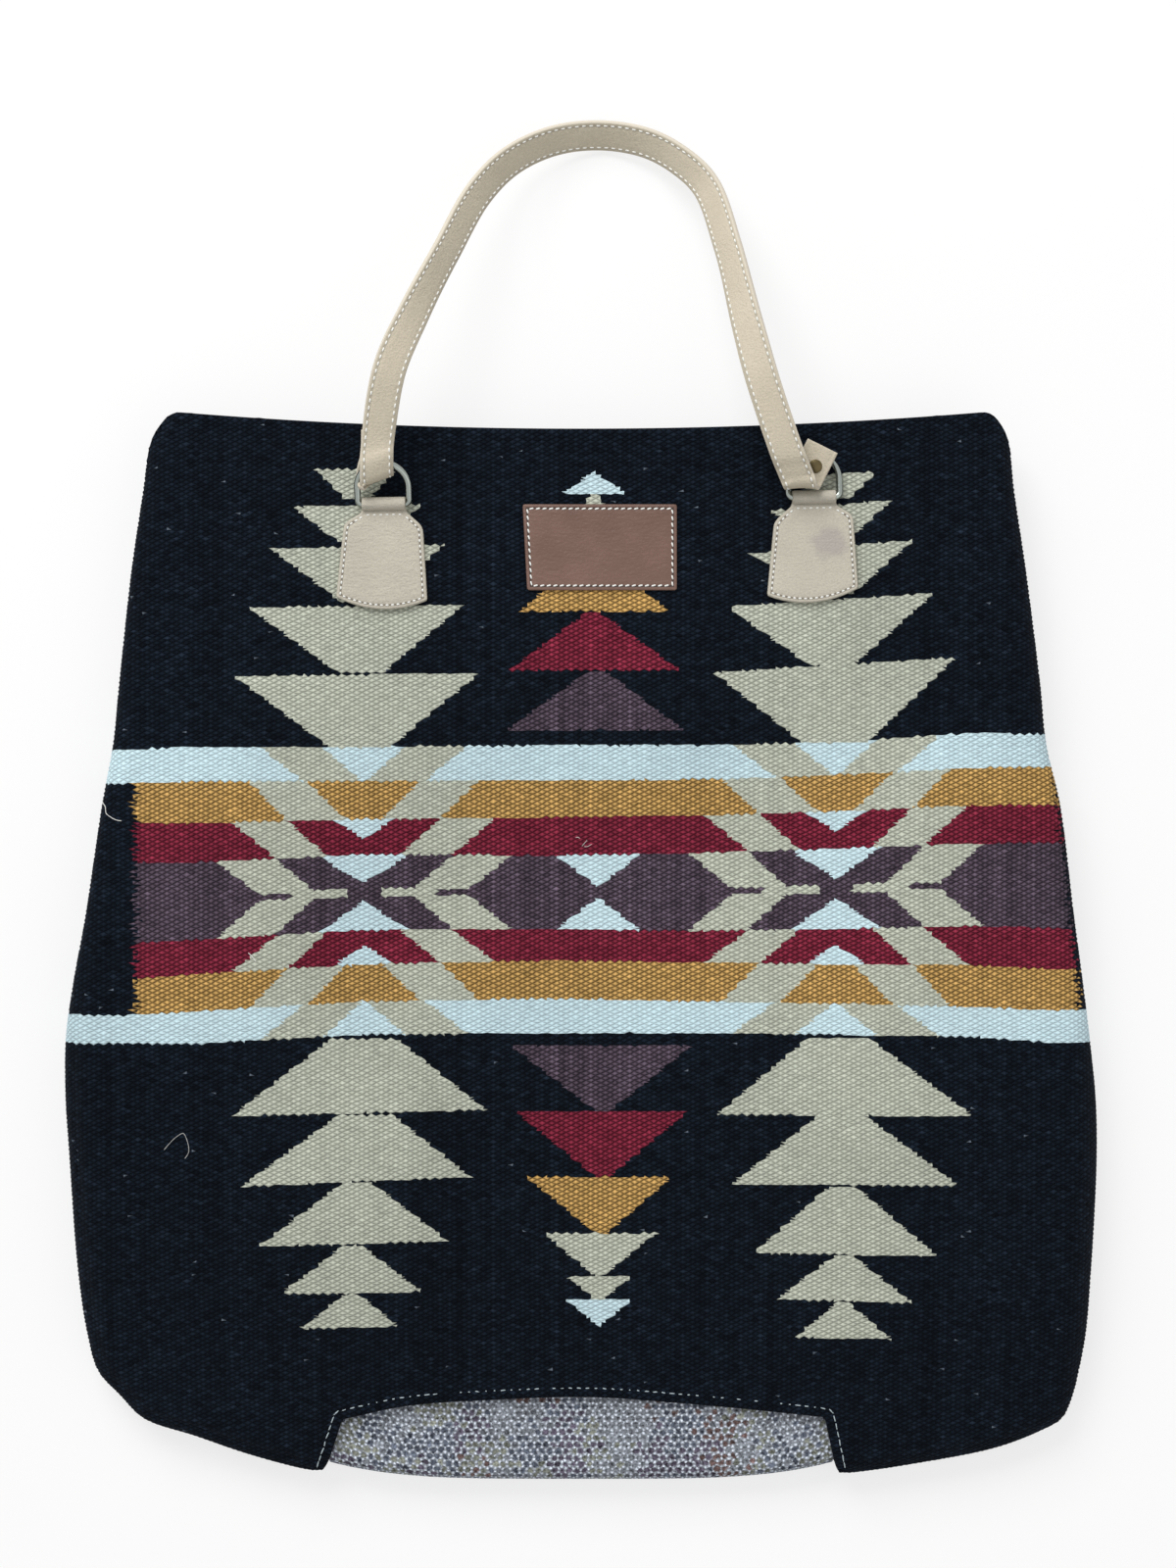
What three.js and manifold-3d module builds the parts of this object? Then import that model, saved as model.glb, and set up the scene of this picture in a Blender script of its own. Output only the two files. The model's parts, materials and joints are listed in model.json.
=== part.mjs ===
// A flat-woven tote bag lying on its back. Two thick cloth panels meet along the sides, a knitted
// base closes them below, and two leather handles swing on D-rings held by stitched leather tabs.
// Millimetres, +Z up, +Y from the base of the bag to its mouth.
import * as THREE from 'three';
import { mergeVertices } from 'three/addons/utils/BufferGeometryUtils.js';
import Module from 'manifold-3d';

const wasm = await Module();
wasm.setup();
const { clamp, degToRad, lerp, smoothstep } = THREE.MathUtils;

// Air between pieces that lie against each other
const fit = 0.3;

// Outline of the bag laid flat, widths from side to side and heights from the base edge
const bodyHeight = 605;
const rimWidth = 492;
const middleWidth = 543;
const middleHeight = 415;
const hipWidth = 594;
const hipHeight = 215;
const cornerWidth = 572;
const cornerHeight = 70;
const cornerTuck = 6;
const slantWidth = 500;
const slantHeight = 29;
const baseWidth = 298;

// Cloth body: the front face is level from levelFrom upward, and the folded back handle holds
// the mouth half off the table by backLift
const clothThickness = 4.5;
const frontTop = 42;
const baseTop = 27;
const levelFrom = 150;
const backLift = 19;
const liftFrom = 200;
const liftTo = 310;

// Arched notch in the lower edge of each panel, and the knitted strip that fills it
const notchFootWidth = 296;
const notchTaper = 8.5;
const notchShoulderWidth = notchFootWidth - 2 * notchTaper;
const notchRise = 34;
const notchCrown = 46.5;
const baseThickness = 2;
const notchBelow = 20;
const baseMargin = 7;
const baseEndGap = 4;
const baseSag = 2;
const baseEndRise = 12;

// Leather tabs, patch and straps; the bag lies rolled a little, so the middle of its front
// sits frontShift to the right of the outline's middle, and the front handle lies turned by frontTurn
const frontShift = 10.2;
const frontTurn = degToRad(0.9);
const tabSpacing = 245;
const barBelowRim = 42;
const tabLeather = 1.5;
const tabLength = 60;
const tabSag = 6;
const tabBottomWidth = 52;
const tabShoulderWidth = 45;
const tabShoulderDrop = 12;
const neckWidth = 24.8;
const neckDrop = 4.5;
const patchWidth = 88;
const patchHeight = 49;
const patchThickness = 1.6;
const patchCorner = 2;
const patchBelowRim = 44;
const patchShift = 0.5;
const strapWidth = 19.4;
const strapThickness = 3;
const strapChamfer = 0.6;

// D-rings and rivets
const wire = 3.8;
const ringInside = 25.4;
const ringDepth = 24.5;
const ringCorner = 2.6;
const barClearance = 0.35;
const wireClearance = 0.4;
const rivetHead = 7.8;
const rivetShank = 3.4;
const rivetHeadThickness = 0.8;
const rivetChamfer = 0.4;
const rivetDome = 0.2;

// Ends of a strap, measured along it from the bar of the ring or past the ring's bow
const ringLift = degToRad(26);
const legLift = degToRad(17);
const foldStart = 12;
const bulgePast = 3.5;
const meetPast = 9;
const rivetPast = 13;
const tailPast = 21;
const closedSlant = degToRad(4);
const closedShift = -1.6;
const openFoldStart = 4.3;
const openRivet = 7.8;
const openTail = 20;
const openLeg = 13;
const openTailRise = degToRad(12);
const openLegRise = degToRad(27);
const openSlant = degToRad(-19);
const openTailSlant = degToRad(-29);
const openShift = -7.9;
const openLift = 1.4;

// Handles: the reach is from the bars of the rings to the top of the arch
const frontReach = 216.5;
const legRise = 29;
const archLevel = 8.5;
const archTilt = degToRad(44);
const backReach = 212;
const backRingTurn = degToRad(158);
const backLegTurn = degToRad(180);

// Facets
const edgeSteps = 5;
const outlineSteps = 8;
const notchSteps = 14;
const tabSteps = 10;
const cornerSteps = 3;
const bowSteps = 18;
const middleColumns = 8;
const cornerRows = 7;
const sideRows = 11;
const baseRows = 5;
const baseColumns = 12;
const foldSteps = 8;
const handleSteps = 44;
const ringSides = 10;
const roundSides = 16;

// Closed meshes

function weld(geometry) {
  geometry.deleteAttribute('normal');
  geometry.deleteAttribute('uv');
  return mergeVertices(geometry, 1e-4);
}

function toSolid(geometry) {
  const welded = weld(geometry);
  const vertProperties = new Float32Array(welded.attributes.position.array);
  const triVerts = new Uint32Array(welded.index.array);
  return new wasm.Manifold(new wasm.Mesh({ numProp: 3, vertProperties, triVerts }));
}

function toGeometry(solid) {
  const mesh = solid.getMesh();
  const geometry = new THREE.BufferGeometry();
  geometry.setAttribute('position', new THREE.BufferAttribute(mesh.vertProperties, 3));
  geometry.setIndex(new THREE.BufferAttribute(mesh.triVerts, 1));
  return geometry;
}

function signedVolume(points, triangles) {
  let volume = 0;
  for (const [a, b, c] of triangles) {
    volume += points[a].dot(new THREE.Vector3().crossVectors(points[b], points[c])) / 6;
  }
  return volume;
}

function closedGeometry(points, triangles) {
  const inwards = signedVolume(points, triangles) < 0;
  const index = triangles.flatMap(([a, b, c]) => (inwards ? [a, c, b] : [a, b, c]));
  const geometry = new THREE.BufferGeometry().setFromPoints(points);
  geometry.setIndex(index);
  return geometry;
}

// A sheet between two grids of points that have as many rows and columns
function sheetGeometry(outer, inner) {
  const rows = outer.length;
  const columns = outer[0].length;
  const points = [...outer.flat(), ...inner.flat()];
  const under = rows * columns;
  const at = (row, column) => row * columns + column;
  const triangles = [];
  for (let row = 0; row < rows - 1; row += 1) {
    for (let column = 0; column < columns - 1; column += 1) {
      const a = at(row, column);
      const b = at(row, column + 1);
      const c = at(row + 1, column + 1);
      const d = at(row + 1, column);
      triangles.push([a, b, c], [a, c, d]);
      triangles.push([under + a, under + c, under + b], [under + a, under + d, under + c]);
    }
  }
  const rim = [];
  for (let column = 0; column < columns - 1; column += 1) rim.push(at(0, column));
  for (let row = 0; row < rows - 1; row += 1) rim.push(at(row, columns - 1));
  for (let column = columns - 1; column > 0; column -= 1) rim.push(at(rows - 1, column));
  for (let row = rows - 1; row > 0; row -= 1) rim.push(at(row, 0));
  rim.forEach((a, i) => {
    const b = rim[(i + 1) % rim.length];
    triangles.push([a, under + a, under + b], [a, under + b, b]);
  });
  return closedGeometry(points, triangles);
}

// A skin over loops of points, joined end to end or capped at both ends
function loftGeometry(loops, ring) {
  const sides = loops[0].length;
  const spans = ring ? loops.length : loops.length - 1;
  const triangles = [];
  for (let i = 0; i < spans; i += 1) {
    const here = i * sides;
    const next = ((i + 1) % loops.length) * sides;
    for (let k = 0; k < sides; k += 1) {
      const m = (k + 1) % sides;
      triangles.push([here + k, here + m, next + m], [here + k, next + m, next + k]);
    }
  }
  if (!ring) {
    const last = (loops.length - 1) * sides;
    for (let k = 1; k < sides - 1; k += 1) {
      triangles.push([0, k + 1, k], [last, last + k, last + k + 1]);
    }
  }
  return closedGeometry(loops.flat(), triangles);
}

// Unit direction at each point of a path, halfway between the stretches that meet there
function directions(path, ring) {
  return path.map((point, i) => {
    const before = ring ? path.at(i - 1) : path[Math.max(i - 1, 0)];
    const after = ring ? path[(i + 1) % path.length] : path[Math.min(i + 1, path.length - 1)];
    const arriving = point.clone().sub(before).normalize();
    const leaving = after.clone().sub(point).normalize();
    return arriving.add(leaving).normalize();
  });
}

// Cloth body

function outlinePoints() {
  const slope = slantHeight / ((slantWidth - baseWidth) / 2);
  const turn = cornerWidth / 2 - cornerTuck;
  const path = new THREE.Path();
  path.moveTo(0, 0);
  path.lineTo(baseWidth / 2, 0);
  path.lineTo(slantWidth / 2, slantHeight);
  path.quadraticCurveTo(turn, (turn - baseWidth / 2) * slope, cornerWidth / 2, cornerHeight);
  path.splineThru([
    new THREE.Vector2(hipWidth / 2, hipHeight),
    new THREE.Vector2(middleWidth / 2, middleHeight),
    new THREE.Vector2(rimWidth / 2, bodyHeight),
  ]);
  return path.getPoints(outlineSteps);
}

const outline = outlinePoints();

function outlineHalf(y) {
  const top = outline.findIndex((point, i) => i > 1 && point.y >= y);
  const high = outline[top < 0 ? outline.length - 1 : top];
  const low = outline[(top < 0 ? outline.length - 1 : top) - 1];
  const share = (y - low.y) / (high.y - low.y);
  return lerp(low.x, high.x, clamp(share, 0, 1));
}

function edgeDistance(x, y) {
  const point = new THREE.Vector3(Math.abs(x), y, 0);
  const nearest = new THREE.Vector3();
  let least = Infinity;
  for (let i = 0; i < outline.length - 1; i += 1) {
    const from = new THREE.Vector3(outline[i].x, outline[i].y, 0);
    const to = new THREE.Vector3(outline[i + 1].x, outline[i + 1].y, 0);
    new THREE.Line3(from, to).closestPointToPoint(point, true, nearest);
    least = Math.min(least, nearest.distanceTo(point));
  }
  return least;
}

// Half the outline's width at a height, drawn in by inset from the edge
function halfWidth(y, inset) {
  let inside = 0;
  let outside = outlineHalf(y);
  if (inset === 0) return outside;
  for (let i = 0; i < 40; i += 1) {
    const tried = (inside + outside) / 2;
    if (edgeDistance(tried, y) >= inset - 1e-6) inside = tried;
    else outside = tried;
  }
  return inside;
}

function topside(y) {
  return lerp(baseTop, frontTop, smoothstep(y, 0, levelFrom));
}

function underside(y) {
  return backLift * smoothstep(y, liftFrom, liftTo);
}

function halfThickness(y) {
  return (topside(y) - underside(y)) / 2;
}

function midHeight(y) {
  return (topside(y) + underside(y)) / 2;
}

// Height of the body's surface above its middle, rounded off towards the edge and drawn in by inset
function swell(distance, y, inset) {
  const radius = halfThickness(y);
  const reach = Math.min(distance, radius);
  return Math.sqrt(Math.max((radius - inset) ** 2 - (radius - reach) ** 2, 0));
}

// Shares of a rounded edge, from its outermost line inward
function edgeShares() {
  return Array.from({ length: edgeSteps + 1 }, (_, k) => {
    return 1 - Math.cos((k / edgeSteps) * Math.PI / 2);
  });
}

function panelRows(inset) {
  const radius = halfThickness(0);
  const rows = edgeShares().map((share) => inset + (radius - inset) * share);
  for (let k = 1; k <= cornerRows; k += 1) rows.push(lerp(radius, cornerHeight, k / cornerRows));
  for (let k = 1; k <= sideRows; k += 1) rows.push(lerp(cornerHeight, bodyHeight, k / sideRows));
  return rows;
}

function panelColumns(y, inset) {
  const half = halfWidth(y, inset);
  const reach = Math.min(halfThickness(y) - inset, half / 2);
  const left = edgeShares().map((share) => -half + reach * share);
  const flat = half - reach;
  const middle = Array.from({ length: middleColumns - 1 }, (_, k) => {
    return lerp(-flat, flat, (k + 1) / middleColumns);
  });
  return [...left, ...middle, ...left.map((x) => -x).reverse()];
}

// One face of a panel: side is 1 for the front and -1 for the back, which keeps clear of the front
function panelFace(side, inset) {
  const seam = side < 0 ? fit : 0;
  return panelRows(inset).map((y) => panelColumns(y, inset).map((x) => {
    const rise = Math.max(swell(edgeDistance(x, y), y, inset), seam);
    return new THREE.Vector3(x, y, midHeight(y) + side * rise);
  }));
}

function notchCutter() {
  const spread = notchTaper * (notchBelow / notchRise);
  const foot = notchFootWidth / 2 + spread;
  const shoulder = notchShoulderWidth / 2;
  const shape = new THREE.Shape();
  shape.moveTo(-foot, -notchBelow);
  shape.lineTo(foot, -notchBelow);
  shape.lineTo(shoulder, notchRise);
  shape.quadraticCurveTo(0, 2 * notchCrown - notchRise, -shoulder, notchRise);
  const depth = frontTop * 2;
  const options = { depth, bevelEnabled: false, curveSegments: notchSteps };
  return new THREE.ExtrudeGeometry(shape, options).translate(0, 0, -frontTop / 2);
}

function panelGeometry(side) {
  const sheet = sheetGeometry(panelFace(side, 0), panelFace(side, clothThickness));
  return toGeometry(toSolid(sheet).subtract(toSolid(notchCutter())));
}

// Knitted base: one strip folded in half along the lower edge, its margins tucked under the panels

function notchTop(share) {
  return lerp(notchCrown, notchRise, share * share);
}

function baseHalf(y) {
  const half = lerp(notchFootWidth, notchShoulderWidth, y / notchRise) / 2;
  const tucked = smoothstep(y, baseMargin, 4 * baseMargin);
  return half + lerp(-baseEndGap, baseMargin, tucked);
}

// The strip's outer line below the fold; the fold itself lies one cloth and one fit further in
function baseEdge(share) {
  return -baseSag - clothThickness - fit + baseEndRise * share * share;
}

function baseFace(inset) {
  const front = edgeShares().map((share) => (halfThickness(0) - inset) * share);
  const steps = Array.from({ length: baseRows }, (_, k) => (k + 1) / baseRows);
  const leaf = [];
  for (let k = 1; k < front.length; k += 1) leaf.push({ reach: front[k], rise: 0 });
  for (const rise of steps) leaf.push({ reach: front.at(-1), rise });
  const rows = [
    ...leaf.map((row) => ({ ...row, side: -1 })).reverse(),
    { reach: 0, rise: 0, side: 1 },
    ...leaf.map((row) => ({ ...row, side: 1 })),
  ];
  return rows.map(({ reach, rise, side }) => {
    return Array.from({ length: baseColumns + 1 }, (_, column) => {
      const share = lerp(-1, 1, column / baseColumns);
      const near = baseEdge(share) + inset + reach;
      const y = lerp(near, notchTop(share) + baseMargin, rise);
      const level = Math.max(y, 0);
      const height = swell(y - baseEdge(share), level, inset);
      return new THREE.Vector3(share * baseHalf(level), y, midHeight(level) + side * height);
    });
  });
}

function baseGeometry() {
  const outer = clothThickness + fit;
  return sheetGeometry(baseFace(outer), baseFace(outer + baseThickness));
}

// Leather tab: a bell-shaped plate with a roll at its neck that holds the bar of a D-ring.
// Its origin is on the cloth under the bar.

const rollRadius = wire / 2 + barClearance + tabLeather;
const barRise = fit + rollRadius;

function tabShape() {
  const shoulder = tabShoulderWidth / 2;
  const bottom = tabBottomWidth / 2;
  const shape = new THREE.Shape();
  shape.moveTo(-neckWidth / 2, 0);
  shape.lineTo(-neckWidth / 2, -neckDrop);
  shape.lineTo(-shoulder, -tabShoulderDrop);
  shape.lineTo(-bottom, tabSag - tabLength);
  shape.quadraticCurveTo(0, -tabLength - tabSag, bottom, tabSag - tabLength);
  shape.lineTo(shoulder, -tabShoulderDrop);
  shape.lineTo(neckWidth / 2, -neckDrop);
  shape.lineTo(neckWidth / 2, 0);
  return shape;
}

function barCylinder(radius, length) {
  const geometry = new THREE.CylinderGeometry(radius, radius, length, roundSides);
  return geometry.rotateZ(Math.PI / 2).translate(0, 0, barRise);
}

function tabGeometry() {
  const depth = 2 * tabLeather;
  const options = { depth, bevelEnabled: false, curveSegments: tabSteps };
  const plate = new THREE.ExtrudeGeometry(tabShape(), options);
  plate.translate(0, 0, fit);
  const roll = barCylinder(rollRadius, neckWidth);
  const bore = barCylinder(wire / 2 + barClearance, neckWidth * 2);
  return toGeometry(toSolid(plate).add(toSolid(roll)).subtract(toSolid(bore)));
}

function patchGeometry() {
  const right = patchWidth / 2 - patchCorner;
  const top = patchHeight / 2 - patchCorner;
  const quarter = Math.PI / 2;
  const shape = new THREE.Shape();
  shape.absarc(right, top, patchCorner, 0, quarter);
  shape.absarc(-right, top, patchCorner, quarter, 2 * quarter);
  shape.absarc(-right, -top, patchCorner, 2 * quarter, 3 * quarter);
  shape.absarc(right, -top, patchCorner, 3 * quarter, 4 * quarter);
  const options = { depth: patchThickness, bevelEnabled: false, curveSegments: cornerSteps };
  return weld(new THREE.ExtrudeGeometry(shape, options));
}

// D-ring: a bar with two tight corners, straight sides and a half-round bow.
// It is drawn in its own plane, with the bar on X and the bow towards +Y.

function arcPoints(x, y, radius, from, to, steps) {
  return Array.from({ length: steps + 1 }, (_, k) => {
    const angle = lerp(from, to, k / steps);
    return new THREE.Vector3(x + radius * Math.cos(angle), y + radius * Math.sin(angle), 0);
  });
}

function ringGeometry() {
  const half = (ringInside + wire) / 2;
  const straight = half - ringCorner;
  const quarter = Math.PI / 2;
  const path = [
    ...arcPoints(straight, ringCorner, ringCorner, -quarter, 0, cornerSteps),
    ...arcPoints(0, ringDepth - half, half, 0, Math.PI, bowSteps),
    ...arcPoints(-straight, ringCorner, ringCorner, Math.PI, 3 * quarter, cornerSteps),
  ];
  const along = directions(path, true);
  const up = new THREE.Vector3(0, 0, 1);
  const loops = path.map((centre, i) => {
    const out = new THREE.Vector3().crossVectors(along[i], up);
    return Array.from({ length: ringSides }, (_, k) => {
      const angle = (k / ringSides) * Math.PI * 2;
      const point = centre.clone().addScaledVector(out, (wire / 2) * Math.cos(angle));
      return point.addScaledVector(up, (wire / 2) * Math.sin(angle));
    });
  });
  return loftGeometry(loops, true);
}

// Handle strap. A closed end passes over the bow of its ring, folds round it and comes back underneath
// as a tail with a rivet. A place on it is given by how far it lies from the bar along the ring
// (along) and how far above the ring's plane (above); past the bow the plane turns to the leg's angle.

const foldRadius = (wire + strapThickness) / 2 + wireClearance;
const tailApart = strapThickness / 2 + rivetHeadThickness / 2 + fit;

function endPoint(end, along, above) {
  const bend = along > ringDepth ? end.legAngle : end.ringAngle;
  const bowY = ringDepth * Math.cos(end.ringAngle);
  const bowZ = barRise + ringDepth * Math.sin(end.ringAngle);
  const past = along - ringDepth;
  const y = bowY + past * Math.cos(bend) - above * Math.sin(bend);
  const z = bowZ + past * Math.sin(bend) + above * Math.cos(bend);
  return new THREE.Vector3(end.x, y, z);
}

function bowPoint(end, above) {
  const before = endPoint(end, ringDepth, above);
  const after = endPoint(end, ringDepth + 1e-6, above);
  return before.add(after).multiplyScalar(0.5);
}

// Half turn of a fold from the tail's side to the leg's side
function foldPoints(place) {
  return Array.from({ length: foldSteps + 1 }, (_, k) => {
    const angle = lerp(-0.5, -1.5, k / foldSteps) * Math.PI;
    return place(foldRadius * Math.cos(angle), foldRadius * Math.sin(angle));
  });
}

// Centre line of a closed end from the tip of the tail round the fold to the start of the leg
function closedPath(end) {
  const foldCentre = foldStart + foldRadius + strapThickness / 2;
  const tail = [
    endPoint(end, ringDepth + tailPast, -tailApart),
    endPoint(end, ringDepth + rivetPast, -tailApart),
    endPoint(end, ringDepth + meetPast, -tailApart),
    endPoint(end, ringDepth + bulgePast, -foldRadius),
    bowPoint(end, -foldRadius),
  ];
  const fold = foldPoints((along, above) => endPoint(end, foldCentre + along, above));
  const leg = [
    bowPoint(end, foldRadius),
    endPoint(end, ringDepth + bulgePast, foldRadius),
    endPoint(end, ringDepth + meetPast, tailApart),
  ];
  return slanted([...tail, ...fold, ...leg], end, tail.length + foldSteps / 2);
}

// Centre line of an end that has come off its ring and lies folded on it
function openPath(end) {
  const foldCentre = openFoldStart + foldRadius + strapThickness / 2;
  const tailZ = barRise + (wire + strapThickness) / 2 + fit + openLift;
  const legZ = tailZ + 2 * foldRadius;
  const tailPoint = (past) => {
    return new THREE.Vector3(end.x, foldCentre + past, tailZ + past * Math.tan(openTailRise));
  };
  const legPoint = (past) => {
    return new THREE.Vector3(end.x, foldCentre + past, legZ + past * Math.tan(openLegRise));
  };
  const tail = [tailPoint(openTail), tailPoint(openRivet)];
  const fold = foldPoints((along, above) => {
    return new THREE.Vector3(end.x, foldCentre + along, tailZ + foldRadius + above);
  });
  const leg = [legPoint(openLeg / 2), legPoint(openLeg)];
  return slanted([...tail, ...fold, ...leg], end, tail.length + foldSteps / 2);
}

// Shifts a path sideways as it goes, so that the strap folds on the skew
function slanted(path, end, middle) {
  const lengths = [0];
  path.slice(1).forEach((point, i) => lengths.push(lengths[i] + point.distanceTo(path[i])));
  path.forEach((point, i) => {
    const slant = i < middle ? end.tailSlant : end.slant;
    point.x += (lengths[i] - lengths[middle]) * Math.tan(slant);
  });
  return path;
}

// Centre line of a whole strap, and where its arch starts and stops; no point lies above highest
function handleLine(left, right, route, highest) {
  const leftPath = left.path;
  const rightPath = right.path.reverse();
  const turns = [...leftPath.splice(-2), ...route, ...rightPath.splice(0, 2)];
  const curve = new THREE.CatmullRomCurve3(turns, false, 'centripetal');
  const arch = curve.getSpacedPoints(handleSteps);
  for (const point of arch) point.z = Math.min(point.z, highest);
  const from = leftPath.length;
  return { path: [...leftPath, ...arch, ...rightPath], from, to: from + handleSteps };
}

// Width direction of the strap: level and outward at the rings, leaning up by tilt over the arch
function widthDirections({ path, from, to }, tilt) {
  const along = directions(path, false);
  const up = new THREE.Vector3(0, 0, 1);
  return path.map((point, i) => {
    const lateral = new THREE.Vector3(i < path.length / 2 ? -1 : 1, 0, 0);
    lateral.addScaledVector(along[i], -lateral.dot(along[i])).normalize();
    const share = Math.min(i - from, to - i) / (handleSteps / 4);
    if (share <= 0) return lateral;
    const out = new THREE.Vector3().crossVectors(up, along[i]).normalize();
    const rise = new THREE.Vector3().crossVectors(along[i], out);
    const lean = out.multiplyScalar(Math.cos(tilt)).addScaledVector(rise, Math.sin(tilt));
    return lateral.lerp(lean, smoothstep(share, 0, 1)).normalize();
  });
}

function strapSection() {
  const edge = strapWidth / 2;
  const face = strapThickness / 2;
  const side = edge - strapChamfer;
  const flank = face - strapChamfer;
  return [
    [edge, -flank], [edge, flank], [side, face], [-side, face],
    [-edge, flank], [-edge, -flank], [-side, -face], [side, -face],
  ];
}

function rivetPlaces(path, across) {
  const along = directions(path, false);
  return [1, path.length - 2].map((i) => {
    const out = new THREE.Vector3().crossVectors(along[i], across[i]).normalize();
    const axis = new THREE.Vector3(0, 1, 0);
    return { at: path[i], turn: new THREE.Quaternion().setFromUnitVectors(axis, out) };
  });
}

function handleGeometry(path, across, rivets) {
  const along = directions(path, false);
  const section = strapSection();
  const loops = path.map((centre, i) => {
    const face = new THREE.Vector3().crossVectors(along[i], across[i]).normalize();
    return section.map(([w, t]) => {
      return centre.clone().addScaledVector(across[i], w).addScaledVector(face, t);
    });
  });
  let strap = toSolid(loftGeometry(loops, false));
  for (const { at, turn } of rivets) {
    const radius = rivetShank / 2 + fit;
    const length = strapThickness + 2 * fit;
    const hole = new THREE.CylinderGeometry(radius, radius, length, roundSides);
    hole.applyQuaternion(turn).translate(at.x, at.y, at.z);
    strap = strap.subtract(toSolid(hole));
  }
  return toGeometry(strap);
}

// Rivet through a tail, one flat head inside and one domed head outside, its axis on Y
function rivetGeometry() {
  const seat = strapThickness / 2 + fit / 2;
  const outer = seat + rivetHeadThickness;
  const profile = [
    [0, -seat - rivetHeadThickness / 2],
    [rivetHead / 2, -seat - rivetHeadThickness / 2],
    [rivetHead / 2, -seat],
    [rivetShank / 2, -seat],
    [rivetShank / 2, seat],
    [rivetHead / 2, seat],
    [rivetHead / 2 - rivetChamfer, outer - rivetDome],
    [0, outer + rivetDome],
  ];
  const points = profile.map(([radius, height]) => new THREE.Vector2(radius, height));
  return weld(new THREE.LatheGeometry(points, roundSides));
}

// Finishes
function finish(colour, roughness, metalness) {
  return () => new THREE.MeshStandardMaterial({ color: colour, roughness, metalness });
}

const wovenCloth = finish(0x151c25, 0.95, 0);
const knit = finish(0x81858f, 0.9, 0);
const paleLeather = finish(0xc1bdaf, 0.6, 0);
const brownLeather = finish(0x7d675e, 0.65, 0);
const nickel = finish(0xb9beba, 0.35, 1);
const oldBrass = finish(0x6e6248, 0.45, 1);

function piece(name, geometry, material) {
  const mesh = new THREE.Mesh(geometry, material());
  mesh.name = name;
  return mesh;
}

// One handle with its tabs, rings and rivets, drawn on a face of cloth at z = 0
function handleGroup(side, names, ends, line, tilt) {
  const group = new THREE.Group();
  const across = widthDirections(line, tilt);
  const rivets = rivetPlaces(line.path, across);
  group.add(piece(`${side}_handle`, handleGeometry(line.path, across, rivets), paleLeather));
  ends.forEach((end, i) => {
    const tab = piece(`${side}_${names[i]}_tab`, tabGeometry(), paleLeather);
    tab.position.x = (i * 2 - 1) * tabSpacing / 2;
    const ring = piece(`${side}_${names[i]}_ring`, ringGeometry(), nickel);
    ring.position.set(tab.position.x, 0, barRise);
    ring.rotation.x = end.ringAngle;
    const rivet = piece(`${side}_${names[i]}_rivet`, rivetGeometry(), oldBrass);
    rivet.position.copy(rivets[i].at);
    rivet.quaternion.copy(rivets[i].turn);
    group.add(tab, ring, rivet);
  });
  return group;
}

const barY = bodyHeight - barBelowRim;
const tabX = tabSpacing / 2;

// The front handle stands up off its left ring, crosses the rim and comes down to the table.
// Its right end has come off: the ring lies on the cloth, and the folded end with its rivet on the ring.
const restAngle = Math.asin((wire / 2 + fit - barRise) / ringDepth);
const frontLeft = {
  ringAngle: ringLift, legAngle: legLift, x: closedShift - tabX, slant: closedSlant, tailSlant: closedSlant,
};
frontLeft.path = closedPath(frontLeft);
const frontRight = {
  ringAngle: restAngle, x: openShift + tabX, slant: openSlant, tailSlant: openTailSlant,
};
frontRight.path = openPath(frontRight);

// Places along the front strap: share of the half spacing, of the reach and of the drop to the arch
const frontShares = [
  [-0.951, 0.332, 0], [-0.833, 0.488, 0.09], [-0.69, 0.653, 0.29], [-0.537, 0.823, 0.56],
  [-0.381, 0.923, 0.77], [-0.177, 0.984, 0.93], [0.042, 1, 1], [0.256, 0.973, 0.936],
  [0.415, 0.915, 0.83], [0.526, 0.84, 0.69], [0.618, 0.664, 0.37], [0.699, 0.444, 0.1],
  [0.768, 0.29, 0.016],
];
const archDrop = legRise + frontTop - archLevel;
const frontRoute = frontShares.map(([side, out, drop]) => {
  return new THREE.Vector3(side * tabX, out * frontReach, legRise - drop * archDrop);
});
const frontLine = handleLine(frontLeft, frontRight, frontRoute, Infinity);
const frontHandle = handleGroup('front', ['left', 'right'], [frontLeft, frontRight], frontLine, archTilt);
frontHandle.position.set(frontShift, barY, frontTop);
frontHandle.rotation.z = frontTurn;

// The back handle is folded down over its tabs and lies flat on the table under the bag.
const folded = { ringAngle: backRingTurn, legAngle: backLegTurn, slant: 0, tailSlant: 0 };
const backEnds = [-tabX, tabX].map((x) => ({ ...folded, x, path: closedPath({ ...folded, x }) }));
const floorLevel = backLift - strapThickness / 2 - fit;
const overTail = barRise + ringDepth * Math.sin(backRingTurn) - tailApart;

// Places along half the back strap: share of the half spacing, of the reach and of the way to the table
const backShares = [
  [-1, 0.236, 0], [-1, 0.36, 1], [-0.98, 0.46, 1], [-0.9, 0.58, 1], [-0.748, 0.741, 1], [-0.488, 0.91, 1],
];
const backMirror = backShares.map(([side, out, down]) => [-side, out, down]).reverse();
const backRoute = [...backShares, [0, 1, 1], ...backMirror].map(([side, out, down]) => {
  return new THREE.Vector3(side * tabX, -out * backReach, lerp(overTail, floorLevel, down));
});
const backLine = handleLine(backEnds[0], backEnds[1], backRoute, floorLevel);
const backHandle = handleGroup('back', ['right', 'left'], backEnds, backLine, 0);
backHandle.position.set(frontShift, barY, backLift);
backHandle.rotation.y = Math.PI;

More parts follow.
